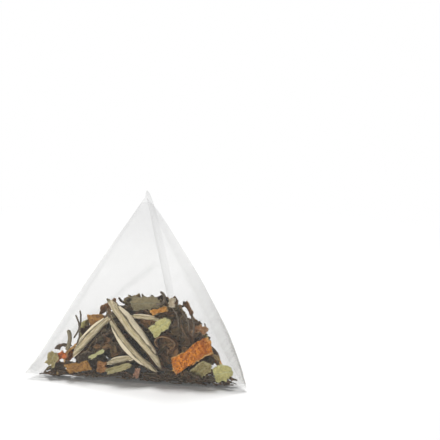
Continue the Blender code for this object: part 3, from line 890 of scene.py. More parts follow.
def curled(rng, size, width, roll, twist, bend, thick, cells):
    """Points and own values of a leaf strip that is rolled across, twisted and bent along its length."""
    rows, columns = cells
    u, v = np.meshgrid(np.linspace(-1, 1, rows), np.linspace(-1, 1, columns), indexing="ij")
    sway = [rng.uniform(-1, 1) for _ in range(6)]
    blunt = rng.uniform(1.6, 3.2)
    taper = np.clip(1 - np.abs(u) ** blunt, 0, 1) ** 0.6 * (1 + 0.22 * np.sin(5 * u + 6 * sway[0]))
    torn = 1 + 0.16 * np.sin(11 * u + 9 * sway[1]) * np.abs(v) + 0.12 * np.sin(23 * u + 5 * sway[2])
    half = np.maximum(width / 2 * taper * torn, 0.09 * width)
    angle = v * roll
    radius = half / roll * (1 + 0.22 * v + 0.10 * np.sin(3 * u + 4 * sway[3]))
    turn = twist * u + sway[4]
    side = radius * np.sin(angle)
    out = -radius * np.cos(angle) + half / roll * 0.5
    along = size / 2 * u * (1 + 0.05 * np.sin(4 * v + 3 * sway[5]))
    places = []
    for lift in (thick / 2, -thick / 2):
        y = side + lift * np.sin(angle)
        z = out - lift * np.cos(angle)
        turned_y = y * np.cos(turn) - z * np.sin(turn) + bend * size * (1 - u**2)
        turned_z = y * np.sin(turn) + z * np.cos(turn) + 0.4 * bend * size * np.sin(3 * u)
        places.append(np.stack([along, turned_y, turned_z], axis=-1).reshape(-1, 3))
    own = np.stack([size / 2 * u, half * v, np.zeros_like(u)], axis=-1).reshape(-1, 3)
    edge = np.maximum(np.abs(v), np.clip(np.abs(u) * 1.5 - 0.5, 0, 1)).ravel()
    return np.concatenate(places), np.concatenate([own, own]), np.concatenate([edge, edge])


def twig(rng, size, width):
    """Points and own values of a thin bent stalk, thicker at one end."""
    rows, columns = TWIG_CELLS
    u = np.linspace(-1, 1, rows)[:, None]
    angle = np.linspace(0, 2 * math.pi, columns, endpoint=False)[None, :]
    sway = [rng.uniform(-1, 1) for _ in range(4)]
    radius = width / 2 * (1 + 0.25 * u) * (1 + 0.15 * np.sin(7 * u + 9 * sway[0]))
    y = radius * np.cos(angle) + 0.12 * size * sway[1] * (1 - u**2)
    z = radius * np.sin(angle) + 0.06 * size * sway[2] * np.sin(3 * u)
    x = size / 2 * u + 0 * angle
    points = np.stack([x, y, z], axis=-1).reshape(-1, 3)
    ends = np.array([[-size / 2, y[0].mean(), z[0].mean()], [size / 2, y[-1].mean(), z[-1].mean()]])
    points = np.concatenate([points, ends])
    edge = np.zeros(len(points))
    edge[-2:] = 1.0
    return points, points.copy(), edge


def twig_faces():
    """Faces of a stalk: its rings' quads and a fan at each end."""
    rows, columns = TWIG_CELLS
    low, high, last = rows * columns, rows * columns + 1, (rows - 1) * columns
    faces = []
    for row in range(rows - 1):
        a, b = row * columns, (row + 1) * columns
        for i in range(columns):
            j = (i + 1) % columns
            faces.append((a + i, a + j, b + j, b + i))
    for i in range(columns):
        j = (i + 1) % columns
        faces.append((low, j, i))
        faces.append((high, last + i, last + j))
    return faces


class Heap:
    """Loose bits gathered into one mesh, each a closed form with its own shade."""

    def __init__(self):
        self.points, self.faces, self.grain, self.edge, self.tint = [], [], [], [], []
        self.count = 0

    def add(self, points, faces, grain, edge, tint):
        """Adds a bit where it lies, with its own places, its edge values and its shade."""
        self.faces.extend(tuple(int(i) + self.count for i in face) for face in faces)
        self.points.append(points)
        self.grain.append(grain / MM + GRAIN_STEP * tint)
        self.edge.append(edge)
        self.tint.append(np.full(len(points), tint))
        self.count += len(points)

    def mesh(self, name):
        """All bits as one mesh, with their values."""
        mesh = bpy.data.meshes.new(name)
        mesh.from_pydata(np.concatenate(self.points).tolist(), [], self.faces)
        set_values(mesh, "grain", "FLOAT_VECTOR", np.concatenate(self.grain))
        set_values(mesh, "edge", "FLOAT", np.concatenate(self.edge))
        set_values(mesh, "tint", "FLOAT", np.concatenate(self.tint))
        return mesh


def centre_line(points, axis, centre):
    """Middles of a long piece's slices from end to end, and the widest reach in each."""
    along = (points - centre) @ axis
    slices, pitch = np.linspace(along.min(), along.max(), LINE_BINS, retstep=True)
    places, reach = [], []
    for middle in slices:
        near = points[np.abs(along - middle) < pitch * 0.75]
        place = near.mean(axis=0)
        flat = near - place
        flat = flat - np.outer(flat @ axis, axis)
        places.append(place + axis * (middle - (place - centre) @ axis))
        reach.append(np.linalg.norm(flat, axis=1).max())
    return np.array(places), np.array(reach)


def rolled_leaf(node, seed):
    """Leaf strips rolled round a twist node's own middle line, one inside the other."""
    points = places_of(NODES[node].data)
    centre, axes = own_axes(points)
    line, reach = centre_line(points, axes[0], centre)
    size = np.linalg.norm(line[-1] - line[0])
    rng = random.Random(f"{node}{seed}")
    heap = Heap()
    for layer in range(ROLL_LAYERS):
        roll = math.radians(rng.uniform(165, 215)) - 0.3 * layer
        width = 2 * roll * reach.max() * (0.40 - 0.15 * layer)
        long = size * (0.98 - 0.1 * layer)
        twist = rng.uniform(0.5, 1.5)
        shape, own, edge = curled(rng, long, width, roll, twist, 0.0, ROLLED_WALL, ROLLED_CELLS)
        shares = np.clip(shape[:, 0] / size + 0.5, 0, 1)
        slots = np.linspace(0, 1, len(line))
        middle = np.stack([np.interp(shares, slots, line[:, k]) for k in range(3)], axis=1)
        swell = 1 + 0.45 * noises(shape, 900, layer)
        placed = middle + np.outer(shape[:, 1] * swell, axes[1]) + np.outer(shape[:, 2] * swell, axes[2])
        heap.add(placed, strip_faces(*ROLLED_CELLS), own, edge, 0.04 + 0.28 * rng.random())
    return heap.mesh(f"{node}_detail")


# The bag


def table_lift(point):
    """The tips of the front seal curl up from the table."""
    lift = LEFT_LIFT if point.x < 0 else RIGHT_LIFT
    beyond = max(0.0, abs(point.x) - CORNER_FLAT) / (HALF - CORNER_FLAT)
    return lift * beyond**2


def dent(point, along, cloth):
    """How far the cloth stands out or in, least at the seals, where it is held flat."""
    room = (4 * along * (1 - along)) ** 0.5
    broad = noise.noise(point * BROAD_DENTS)
    fine = noise.noise(Vector(way * waves for way, waves in zip(point, FINE_DENTS)))
    held = math.exp(-min(along, 1 - along) / PLEAT_REACH)
    return room * cloth.dents * (broad + 0.25 * fine) + cloth.pleats * held * room * 2 * fine


def skewed(part):
    """A bulge from 0 to 1 and back, fullest near its start."""
    way = part**SIDE_SKEW
    return 4 * way * (1 - way)


def section(along, cloth, inset=0.0):
    """Points round the tube at a share of its length, and where each lies.

    That is its wall's number, its share of the wall's width and whether it is on the lap seam.
    """
    room = 4 * along * (1 - along)
    front = room**BULGE_FULLNESS
    sides = room ** (SIDE_FULLNESS[0] + (SIDE_FULLNESS[1] - SIDE_FULLNESS[0]) * along)
    bulges = (front * FRONT_BULGE, sides * RIGHT_STAND, 0.0, sides * LEFT_STAND)
    width, height = (1 - along) * TUBE_WIDTH, along * TUBE_WIDTH
    slack = 0.0
    if 0 < along < 1:
        slack = 8 / 3 * (bulges[0] ** 2 / width + (bulges[1] ** 2 + bulges[3] ** 2) / height)
    drawn = 1 - slack / (2 * TUBE_WIDTH)
    width = width * drawn + SEAL - 2 * inset / SLANT
    height = height * drawn + SEAL - 2 * inset / SLANT
    foot = FRONT.lerp(BACK, along) + RISE * inset / SLANT
    corners = [
        foot - ACROSS * width / 2 + RISE * height,
        foot + ACROSS * width / 2 + RISE * height,
        foot + ACROSS * width / 2,
        foot - ACROSS * width / 2,
    ]
    outward = (RISE, ACROSS, -RISE, -ACROSS)
    points, walls = [], []
    for wall, parts in enumerate((FRONT_PARTS, SIDE_PARTS, FRONT_PARTS, SIDE_PARTS)):
        start, end = corners[wall], corners[(wall + 1) % 4]
        for i in range(parts):
            part = 0.5 - 0.5 * math.cos(math.pi * i / parts)
            bulge = 4 * part * (1 - part)
            place = start.lerp(end, part)
            out = bulges[wall] * (bulge, skewed(part), bulge, skewed(1 - part))[wall]
            if wall != 2:
                out += dent(place, along, cloth) * min(1.0, 3 * bulge)
            lap = abs(part - 0.5) * (end - start).length < LAP_WIDTH / 2
            if wall == 3 and lap and inset == 0.0:
                out += CAD_SHEET * 0.9
            place = place + outward[wall] * out
            points.append(place + UP * table_lift(place))
            walls.append((wall, part, lap))
    soft = min(1.0, min(along, 1 - along) / ROUNDED_FROM)
    for _ in range(ROUNDINGS):
        before = points[-1:] + points[:-1]
        after = points[1:] + points[:1]
        points = [
            p.lerp((a + b) / 2, 0.5 * soft * (min(part, 1 - part) < FOLD_SHARE))
            for p, a, b, (_, part, _) in zip(points, before, after, walls)
        ]
    return points, walls


def front_strip(ring):
    """The front seal's free edge, which lies on the table and waves a little."""
    strip = []
    for point in ring:
        turn = 2 * math.pi * SEAL_WAVES * point.x / TUBE_WIDTH
        rise = SEAL_WAVE * (0.5 - 0.5 * math.cos(turn)) * (abs(point.x) < HALF - SEAL)
        strip.append(point + Vector((0, -SEAL_DEPTH, rise)))
    return strip


def back_strip(ring):
    """The back seal's free edge, which leans to the right towards the peak."""
    strip = []
    for point in ring:
        lean = BACK_SEAL_LEAN * math.sin(math.pi * min(1.0, point.z / PEAK.z)) ** 0.5
        strip.append(point + (AXIS * math.cos(lean) + ACROSS * math.sin(lean)) * SEAL_DEPTH)
    return strip


def layers_at(wall, part, lap, along):
    """How many times as dense as one wall the cloth looks at a place."""
    value = 1.0
    if wall == 1:
        value += RIGHT_DENSE * hump(part, RIGHT_DENSE_AT, RIGHT_DENSE_WIDTH) * (1 - along) ** 2
    if wall == 3 and lap:
        value += LAP_DENSE
    if wall != 2:
        value += FOLD_DENSE * math.exp(-min(part, 1 - part) / FOLD_DENSE_WIDTH)
    return value + SEAL_DENSE * math.exp(-along / SEAL_DENSE_WIDTH)


def cap(bm, ring, starts):
    """Closes a flat ring with a strip between its two long walls and a fan at each short wall."""
    long_a, short_a, long_b, short_b = starts
    count = len(ring)
    first = [ring[i] for i in range(long_a, short_a + 1)]
    second = [ring[i % count] for i in range(long_b, short_b + 1)][::-1]
    for i in range(1, len(first) - 2):
        bm.faces.new((first[i], first[i + 1], second[i + 1], second[i]))
    ends = ([ring[i] for i in range(short_a, long_b + 1)], first[-2], second[-2])
    begins = ([ring[i % count] for i in range(short_b, long_a + count + 1)], second[1], first[1])
    for short, before, after in (ends, begins):
        for i in range(len(short) - 1):
            bm.faces.new((before, short[i], short[i + 1]))
        bm.faces.new((before, short[-1], after))


def tubes(bm, rings):
    """Joins each closed ring to the next one with quads."""
    for before, after in zip(rings, rings[1:]):
        for i in range(len(before)):
            j = (i + 1) % len(before)
            bm.faces.new((before[i], before[j], after[j], after[i]))


def bag_mesh(cloth):
    """The sheet as a closed skin: its outside with both sealed strips, and its inside."""
    bm = bmesh.new()
    weave, layers = [], []

    def ring_of(points, walls, along, density=None):
        """Adds a ring and its values. The density is given by height where the walls don't set it."""
        around = 0.0
        made = []
        for i, point in enumerate(points):
            if i:
                around += (point - points[i - 1]).length
            height = point.z / PEAK.z
            fade = 1 - TOP_CLEAR * max(0.0, height - TOP_CLEAR_FROM)
            made.append(bm.verts.new(point))
            weave.append((around / MM, along * TUBE_LENGTH / MM, 0))
            layers.append(density(height) if density else layers_at(*walls[i], along) * fade)
        return made

    def thin_end(along):
        """How dense the inside's first or last ring looks, by height."""
        return lambda height: 0.25 + 0.75 * along * (1 - height**6)

    shares = [0.5 - 0.5 * math.cos(math.pi * i / RINGS) for i in range(RINGS + 1)]
    sections = [section(along, cloth) for along in shares]
    middles = [ring_of(*cut, along) for cut, along in zip(sections, shares)]
    (first, first_walls), (last, last_walls) = sections[0], sections[-1]
    strip = front_strip(first)
    halfway = [point.lerp(end, 0.5) for point, end in zip(first, strip)]
    edge_front = ring_of(strip, first_walls, -0.05, lambda height: EDGE_LAYERS)
    half_front = ring_of(halfway, first_walls, -0.02, lambda height: HALF_LAYERS)
    fin = back_strip(last)
    edge_back = ring_of(fin, last_walls, 1.05, lambda height: BACK_LAYERS + height**10)
    outer = [edge_front, half_front, *middles, edge_back]
    inside = [SEAL_END, *(s for s in shares if SEAL_END < s < 1 - SEAL_END), 1 - SEAL_END]
    inner = []
    for along in inside:
        density = thin_end(along) if along in (inside[0], inside[-1]) else None
        inner.append(ring_of(*section(along, cloth, cloth.thickness), along, density))
    right_wall, floor, left_wall = FRONT_PARTS, FRONT_PARTS + SIDE_PARTS, 2 * FRONT_PARTS + SIDE_PARTS
    for rings in (outer, inner):
        tubes(bm, rings)
    for rings in (outer, inner):
        count = len(rings[-1])
        cap(bm, rings[0], (0, right_wall, floor, left_wall))
        turned = rings[-1][right_wall:] + rings[-1][:right_wall]
        cap(bm, turned, (0, floor - right_wall, left_wall - right_wall, count - right_wall))
    bmesh.ops.recalc_face_normals(bm, faces=bm.faces)
    mesh = bpy.data.meshes.new("bag_cloth")
    bm.to_mesh(mesh)
    bm.free()
    set_values(mesh, "weave", "FLOAT_VECTOR", weave)
    set_values(mesh, "layers", "FLOAT", layers)
    return mesh


# The heap

WALLS = {
    "front": (LEFT, RIGHT, PEAK),
    "left": (BACK, LEFT, PEAK),
    "right": (RIGHT, BACK, PEAK),
    "floor": (RIGHT, LEFT, BACK),
}
WALL_CLEARANCE = 0.0004


def wall_frame(wall):
    """A wall's middle foot, half its foot, the way to its peak and its outward direction."""
    left, right, peak = WALLS[wall]
    foot = (left + right) / 2
    return foot, (right - left) / 2, peak - foot, (right - left).cross(peak - left).normalized()


def heap_height(place):
    """Height of the loose tea above the table at a place, in metres."""
    spots, heights = zip(*HEAP_TOP)
    top = float(np.interp(place.x / MM, spots, heights)) * MM
    return top * (1 - HEAP_FALL * max(0.0, place.y - FRONT.y) / TUBE_LENGTH)


def inside_bag(points):
    """Whether all points lie within the four walls, a little clear of them."""
    for wall in WALLS:
        foot, _, _, outward = wall_frame(wall)
        if ((points - np.array(foot)) @ np.array(outward)).max() > -WALL_CLEARANCE:
            return False
    return True


FORMS = {  # share of the bits, length, width, half roll in degrees, shades
    "leaf": (0.54, (0.0050, 0.0100), (0.0034, 0.0062), (22, 70), (0.14, 0.90)),
    "curled": (0.15, (0.0035, 0.0085), (0.0026, 0.0052), (100, 190), (0.05, 0.80)),
    "flake": (0.11, (0.0016, 0.0040), (0.0014, 0.0030), (20, 60), (0.30, 0.98)),
    "crumb": (0.09, (0.0008, 0.0018), (0.0007, 0.0014), (30, 90), (0.10, 1.00)),
    "twig": (0.11, (0.0025, 0.0065), (0.0003, 0.0006), None, (0.10, 0.90)),
}
HEAPS = {
    "loose_leaves": ("leaf", "flake"),
    "curled_leaves": ("curled",),
    "twigs_and_crumbs": ("twig", "crumb"),
}
# Twigs that stand up: X and foot height in millimetres, length in millimetres, how many, lean
SPRIGS = (
    ((10.5, 21.5), (12.5, 15.0), (3.6, 5.8), 22, 0.35),
    ((-11.5, -3.0), (15.5, 17.5), (2.4, 4.4), 9, 0.6),
    ((-29.0, -23.0), (1.8, 6.0), (2.5, 4.5), 10, 1.3),
    ((24.0, 28.5), (1.5, 5.0), (2.2, 3.6), 6, 1.3),
)
# X, height, depth behind the front wall, length and width in millimetres, turn in degrees, shade
BROAD_LEAVES = (
    (-8.9, 10.7, 2.6, 8.0, 5.0, 40, 0.22),
    (-5.6, 8.5, 2.4, 7.0, 4.5, -30, 0.28),
    (-13.2, 5.2, 1.8, 7.0, 4.0, 10, 0.15),
    (-7.0, 2.3, 1.2, 9.0, 4.0, 5, 0.26),
    (-3.2, 1.7, 1.0, 8.0, 3.4, -5, 0.14),
    (-10.3, 1.6, 1.0, 8.0, 3.0, 2, 0.22),
    (6.5, 7.3, 2.0, 7.5, 5.0, 60, 0.74),
    (9.5, 8.8, 2.4, 7.0, 5.0, 100, 0.70),
    (12.4, 15.7, 1.6, 8.5, 5.6, 20, 0.62),
    (10.3, 13.4, 1.4, 6.5, 4.6, -20, 0.68),
    (15.0, 14.2, 1.5, 7.5, 4.6, 60, 0.42),
    (8.0, 12.0, 1.8, 6.0, 4.2, 30, 0.77),
    (17.5, 14.9, 1.4, 5.5, 4.2, 20, 0.50),
    (20.5, 13.5, 1.2, 5.5, 4.5, -30, 0.16),
    (7.2, 3.4, 1.0, 9.0, 3.2, -5, 0.56),
    (11.2, 3.1, 1.0, 7.0, 3.4, 10, 0.32),
    (3.6, 2.4, 1.2, 7.0, 3.6, -20, 0.38),
    (20.6, 7.1, 1.2, 6.5, 3.6, 0, 0.20),
    (23.3, 9.4, 0.9, 5.5, 4.4, -60, 0.50),
    (0.3, 16.6, 2.2, 7.5, 4.0, -20, 0.74),
    (-14.8, 12.8, 2.0, 7.5, 4.2, 50, 0.34),
    (-19.0, 7.3, 1.4, 6.0, 3.4, 60, 0.36),
    (-21.8, 3.6, 0.9, 6.5, 2.6, 15, 0.30),
    (-6.0, 13.3, 3.2, 8.0, 3.6, -55, 0.12),
    (-1.5, 9.8, 3.0, 9.0, 3.8, -50, 0.64),
    (-16.4, 3.4, 1.0, 8.0, 3.0, -4, 0.18),
    (15.0, 2.0, 0.9, 7.0, 2.8, -3, 0.24),
    (19.3, 1.1, 0.8, 7.0, 2.4, -6, 0.18),
    (13.1, 11.2, 2.2, 7.5, 5.0, 120, 0.16),
    (16.2, 9.5, 2.6, 7.0, 5.0, 80, 0.30),
    (-22.6, 5.6, 1.4, 5.5, 3.6, 50, 0.60),
    (-19.6, 9.4, 1.6, 5.5, 3.4, 65, 0.30),
    (-17.6, 6.0, 1.6, 6.0, 3.8, -40, 0.22),
    (-24.6, 3.2, 1.0, 4.5, 2.6, 10, 0.50),
    (23.8, 6.0, 1.4, 5.0, 3.4, 70, 0.34),
    (-15.2, 9.6, 2.2, 6.0, 3.6, 50, 0.80),
)
HEAP_REACH = 0.005  # how far loose bits may lie from the heap's middle at the back
CREST_ROOM = ((-5.5, 7.0), (-15.0, -10.5), (16.6, 19.8))  # X, Y and Z in millimetres
CREST_BITS = 40

# Where the loose bits are tried, with their shares, and how freely they turn there
SPOTS = {"foot": 0.22, "top": 0.18, "front": 0.28, "left": 0.14, "right": 0.13, "floor": 0.05}
SPREADS = {"foot": 0.3, "top": 1.6}
WALL_SPREAD = 0.9
# painted shade: the colour of the bits at the foot is darkened by this factor
FOOT_PAINTED_SHADE = 0.3  # the foot lies in the shade of what stands on it
FOOT_TOP = 0.0035
PROBE_DEPTH = 0.016  # how far in front of a featured piece no loose bit is laid
TRIES = 12  # for each loose bit
BROAD_STEPS = 9  # places tried for a broad leaf, from the wall inwards

# Its form's name, points about its own middle, faces, own values, edge values and shade
Bit = namedtuple("Bit", "form points faces own edge shade")


def loose_bit(rng, scale):
    """One bit of loose tea, of a form picked by its share."""
    pick, total = rng.random(), 0.0
    for form, (part, size, width, roll, shades) in FORMS.items():
        total += part
        if pick <= total:
            break
    long, wide = rng.uniform(*size) * scale, rng.uniform(*width) * scale
    shade = rng.uniform(*shades)
    if form == "twig":
        points, own, edge = twig(rng, long, wide)
        return Bit(form, points, twig_faces(), own, edge, shade)
    twist, bend = rng.uniform(-1.2, 1.2), rng.uniform(-0.08, 0.08)
    half_roll = math.radians(rng.uniform(*roll))
    points, own, edge = curled(rng, long, wide, half_roll, twist, bend, LOOSE_WALL, CURLED_CELLS)
    return Bit(form, points, strip_faces(*CURLED_CELLS), own, edge, shade)


def pick_spot(rng, mound):
    """A loose bit's kind of spot, its outward way and place, and how high it may reach."""
    kind = rng.choices(list(SPOTS), list(SPOTS.values()))[0]
    if kind == "foot":
        behind = Vector((rng.uniform(-28, 28), rng.uniform(0.5, 4.0), rng.uniform(0.5, 2.0))) * MM
        return kind, Vector((0, -0.6, 0.8)), FRONT + behind, FOOT_TOP
    if kind == "top":
        above = Vector((rng.uniform(-0.017, 0.017), rng.uniform(FRONT.y + 0.006, 0.012), PEAK.z))
        place, outward, _, _ = mound.ray_cast(above, -UP)
        if place and outward.z > 0.3:
            return kind, outward, place - UP * 0.0022 * rng.random(), PEAK.z
        kind = "front"
    foot, half, rise, outward = wall_frame(kind)
    across, up = rng.uniform(-1, 1), rng.uniform(0, 0.46)
    if kind == "floor":
        up = rng.uniform(0, 0.95)
    depth = 0.0007 + 0.0065 * rng.random() ** 1.4
    place = foot + half * across * (1 - up) + rise * up - outward * depth
    return kind, outward, place, heap_height(place)


def lie(rng, points, outward, place, spread):
    """Lays a bit roughly flat against a wall, turned at random, more often lengthwise."""
    level = UP.cross(outward)
    level = level.normalized() if level.length > 0.1 else ACROSS
    spin = Matrix.Rotation(rng.gauss(0, spread), 3, outward)
    tip = Matrix.Rotation(rng.gauss(0, 0.35), 3, level)
    lengthwise = tip @ (spin @ level)
    face = (tip @ outward).normalized()
    sideways = face.cross(lengthwise).normalized()
    lengthwise = sideways.cross(face).normalized()
    ways = np.array([lengthwise, sideways, face])
    return points @ ways + np.array(place), lengthwise


def mesh_tree(points, faces):
    """A search tree of one mesh."""
    corners = [Vector(point) for point in points]
    return BVHTree.FromPolygons(corners, [tuple(int(i) for i in face) for face in faces])


def is_free(named, placed, faces):
    """Whether a bit lies inside the bag and clear of the named pieces."""
    return inside_bag(placed) and not named.overlap(mesh_tree(placed, faces))


def add_bit(heaps, bit, placed, shade):
    """Puts a bit into the heap that takes its form."""
    name = next(name for name, forms in HEAPS.items() if bit.form in forms)
    heaps[name].add(placed, bit.faces, bit.own, bit.edge, shade)


def fill_heap(tea, named, featured, mound):
    """Lays the loose bits in the free room, clear of the bag and of the named pieces."""
    rng = random.Random(tea.seed)
    heaps = {name: Heap() for name in HEAPS}
    laid = 0
    for _ in range(tea.fragments * TRIES):
        if laid >= tea.fragments:
            break
        bit = loose_bit(rng, 1.2 - 0.5 * laid / tea.fragments)
        kind, outward, place, top = pick_spot(rng, mound)
        placed, lengthwise = lie(rng, bit.points, outward, place, SPREADS.get(kind, WALL_SPREAD))
        if placed[:, 2].max() > top or (place.y > 0 and mound.find_nearest(place)[3] > HEAP_REACH):
            continue
        reach = lengthwise * (bit.points[:, 0].max() * 0.8)
        probes = (place, place + reach, place - reach) if kind in WALLS else ()
        if any(featured.ray_cast(probe, -outward, PROBE_DEPTH)[0] is not None for probe in probes):
            continue
        if is_free(named, placed, bit.faces):
            # bits at the foot are darkened as painted shade
            add_bit(heaps, bit, placed, bit.shade * (FOOT_PAINTED_SHADE if kind == "foot" else 1.0))
            laid += 1
    rng = random.Random(tea.seed + 3)
    for group in SPRIGS:
        stand_sprigs(rng, heaps["twigs_and_crumbs"], named, group)
    lay_crest(tea, named, heaps)
    return heaps


def lay_crest(tea, named, heaps):
    """More broken leaf behind the pieces at the top, which rest on it."""
    rng = random.Random(tea.seed + 2)
    laid = 0
    for _ in range(CREST_BITS * TRIES):
        if laid >= CREST_BITS:
            break
        bit = loose_bit(rng, 0.85)
        place = Vector([rng.uniform(*room) for room in CREST_ROOM]) * MM
        outward = Vector((rng.gauss(0, 0.5), rng.gauss(-0.3, 0.4), 1)).normalized()
        placed, _ = lie(rng, bit.points, outward, place, SPREADS["top"])
        if is_free(named, placed, bit.faces):
            add_bit(heaps, bit, placed, bit.shade)
            laid += 1


def stand_sprigs(rng, heap, named, group):
    """Thin twigs that stand up out of the loose tea, some of them forked."""
    spots, foot, size, count, lean = group
    for _ in range(count):
        x = rng.uniform(*spots) * MM
        z = rng.uniform(*foot) * MM
        y = FRONT.y + z * math.cos(LEAN) / math.sin(LEAN) + rng.uniform(0.0008, 0.0040)
        for fork in range(rng.choice((1, 1, 2))):
            long, wide = rng.uniform(*size) * MM, rng.uniform(0.26, 0.55) * MM
            points, own, edge = twig(rng, long, wide)
            tilt = rng.gauss(0, lean) + 0.5 * fork * rng.choice((-1, 1))
            way = Vector((math.sin(tilt), rng.uniform(-0.05, 0.35), math.cos(tilt))).normalized()
            sideways = way.orthogonal().normalized()
            ways = np.array([way, sideways, way.cross(sideways)])
            placed = points @ ways + np.array(Vector((x, y, z)) + way * long * 0.3)
            if is_free(named, placed, twig_faces()):
                heap.add(placed, twig_faces(), own, edge, rng.uniform(0.15, 0.6))


def lay_broad(tea, named):
    """Broad flat leaves where the photograph shows them, each as near the front wall as it can lie."""
    rng = random.Random(tea.seed + 1)
    heap = Heap()
    outward = wall_frame("front")[3]
    rise = (PEAK - FRONT) / PEAK.z
    faces = strip_faces(*BROAD_CELLS)
    for x, z, depth, long, wide, turn, shade in BROAD_LEAVES:
        turn = math.radians(turn)
        way = (ACROSS * math.cos(turn) + rise.normalized() * math.sin(turn)).normalized()
        roll = math.radians(rng.uniform(22, 55))
        twist, bend = rng.gauss(0, 0.35), rng.uniform(-0.05, 0.05)
        size, width = long * MM, wide * MM
        points, own, edge = curled(rng, size, width, roll, twist, bend, ROLLED_WALL, BROAD_CELLS)
        tip = Matrix.Rotation(rng.gauss(0, 0.22), 3, way)
        face = tip @ outward
        ways = np.array([way, face.cross(way), face])
        for step in range(BROAD_STEPS):
            place = FRONT + (ACROSS * x + rise * z - outward * (depth + 0.5 * step)) * MM
            placed = points @ ways + np.array(place)
            if is_free(named, placed, faces):
                heap.add(placed, faces, own, edge, shade)
                break
    return heap


def shrink(core):
    """Draws the heap's middle in, a little unevenly, so that it stays behind the loose bits."""
    points = places_of(core)
    centre = points.mean(axis=0)
    local = (points - centre) / MM
    rough = noises(local, 0.55) + 0.5 * noises(local, 1.6)
    pull = 0.80 + 0.10 * np.minimum(rough, 0.3)
    core.vertices.foreach_set("co", (centre + local * pull[:, None] * MM).ravel())
    set_values(core, "grain", "FLOAT_VECTOR", local)
    set_values(core, "edge", "FLOAT", np.zeros(len(points)))
    set_values(core, "tint", "FLOAT", np.full(len(points), 0.2))


def tree_of(pieces):
    """One search tree of several pieces where they stand."""
    corners, faces = [], []
    for piece in pieces:
        start = len(corners)
        corners.extend(vertex.co.copy() for vertex in piece.data.vertices)
        faces.extend(tuple(start + i for i in face.vertices) for face in piece.data.polygons)
    return BVHTree.FromPolygons(corners, faces)


# Operators


class TEABAG_OT_stage(bpy.types.Operator):
    """Sets the table, the light and the camera"""

    bl_idname = "teabag.stage"
    bl_label = "Set the table and light"

    def execute(self, context):
        settings = context.scene.teabag_stage
        self.table(context, settings)
        self.light(context, settings)
        self.camera(context, settings)
        return {"FINISHED"}

    def table(self, context, settings):
        """A pale table that the camera sees as white away from the bag's shadow."""
        bm = bmesh.new()
        bmesh.ops.create_grid(bm, x_segments=2, y_segments=2, size=TABLE_SIZE)
        mesh = bpy.data.meshes.new("table")
        bm.to_mesh(mesh)
        bm.free()
        table = bpy.data.objects.new("table", mesh)
        context.scene.collection.objects.link(table)
        finish = Finish("table", roughness=0.9, Specular_IOR_Level=0.0, Base_Color=tuple(settings.floor))
        place = finish.node("ShaderNodeTexCoord", output="Object")
        reach = finish.node("ShaderNodeVectorMath", {"operation": "LENGTH"}, {0: place}, "Value")
        lit = finish.node("ShaderNodeEmission", {}, {"Color": (1, 1, 1), "Strength": 1.0})
        away = finish.between(reach, *WHITE_REACH) * (1 - WHITE_LEAST) + WHITE_LEAST
        plain = Wire(finish, finish.shader.outputs[0])
        mixed = finish.node("ShaderNodeMixShader", {}, {0: away * finish.seen(), 1: plain, 2: lit})
        finish.feed(finish.tree.nodes["Material Output"].inputs["Surface"], mixed)
        mesh.materials.append(finish.material)
        table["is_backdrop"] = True

    def light(self, context, settings):
        """Two lamps, and a room that is bright only where the camera sees it."""
        world = bpy.data.worlds.new("room")
        context.scene.world = world
        world.use_nodes = True
        room = Graph(world.node_tree)
        sky = room.tree.nodes["Background"].inputs
        room.feed(sky["Color"], (1, 1, 1))
        bright = {"Value": room.seen(), "To Min": settings.sky, "To Max": 1.0}
        room.feed(sky["Strength"], room.node("ShaderNodeMapRange", {}, bright))
        for name, (place, width, power) in LAMPS.items():
            self.lamp(context, name, Vector(place), width, power)

    def lamp(self, context, name, place, width, power):
        """A square lamp that points at the bag and isn't seen itself."""
        data = bpy.data.lights.new(name, "AREA")
        data.size = width
        data.energy = power
        lamp = bpy.data.objects.new(name, data)
        context.scene.collection.objects.link(lamp)
        lamp.location = place
        lamp.rotation_mode = "QUATERNION"
        lamp.rotation_quaternion = (Vector((0, 0, 0.01)) - place).to_track_quat("-Z", "Y")
        lamp.visible_camera = False
        lamp.visible_glossy = False

    def camera(self, context, settings):
        """Looks at the bag so that the front seal lies where the photograph shows it."""
        yaw, tilt = settings.yaw, settings.elevation
        right = Vector((math.cos(yaw), math.sin(yaw), 0))
        level = Vector((-math.sin(yaw), math.cos(yaw), 0))
        ahead = level * math.cos(tilt) - UP * math.sin(tilt)
        above = right.cross(ahead)
        per_pixel = settings.frame_width / IMAGE_PX
        aside, rise = (IMAGE_PX / 2 - pixel for pixel in FRONT_PX)
        aim = FRONT + (right * aside - above * rise) * per_pixel
        middle = FRONT * 0.6 + UP * PEAK.z * 0.45
        data = bpy.data.cameras.new("camera")
        data.sensor_width = 36
        data.lens = data.sensor_width * settings.distance / settings.frame_width
        camera = bpy.data.objects.new("camera", data)
        context.scene.collection.objects.link(camera)
        camera.location = middle - ahead * settings.distance
        depth = (aim - camera.location).dot(ahead)
        aim = aim + ahead * (settings.distance - depth)
        camera.rotation_mode = "QUATERNION"
        camera.rotation_quaternion = (aim - camera.location).to_track_quat("-Z", "Y")
        context.scene.camera = camera
        context.scene.view_settings.view_transform = "Standard"


class TEABAG_OT_bag(bpy.types.Operator):
    """Makes the bag of mesh cloth with its two seals and its lap seam"""

    bl_idname = "teabag.bag"
    bl_label = "Make the bag"

    def execute(self, context):
        cloth = context.scene.teabag_cloth
        piece = add_piece("bag_cloth", bag_mesh(cloth), cloth_finish(cloth), ["bag"])
        return {"FINISHED"}


class TEABAG_OT_buds(bpy.types.Operator):
    """Makes the downy silver buds"""

    bl_idname = "teabag.buds"
    bl_label = "Make the silver buds"

    def execute(self, context):
        material = bud_finish(context.scene.teabag_tea)
        for node in BUDS:
            dress(node, material, 3, bud_move, BUD_WALL)
        return {"FINISHED"}


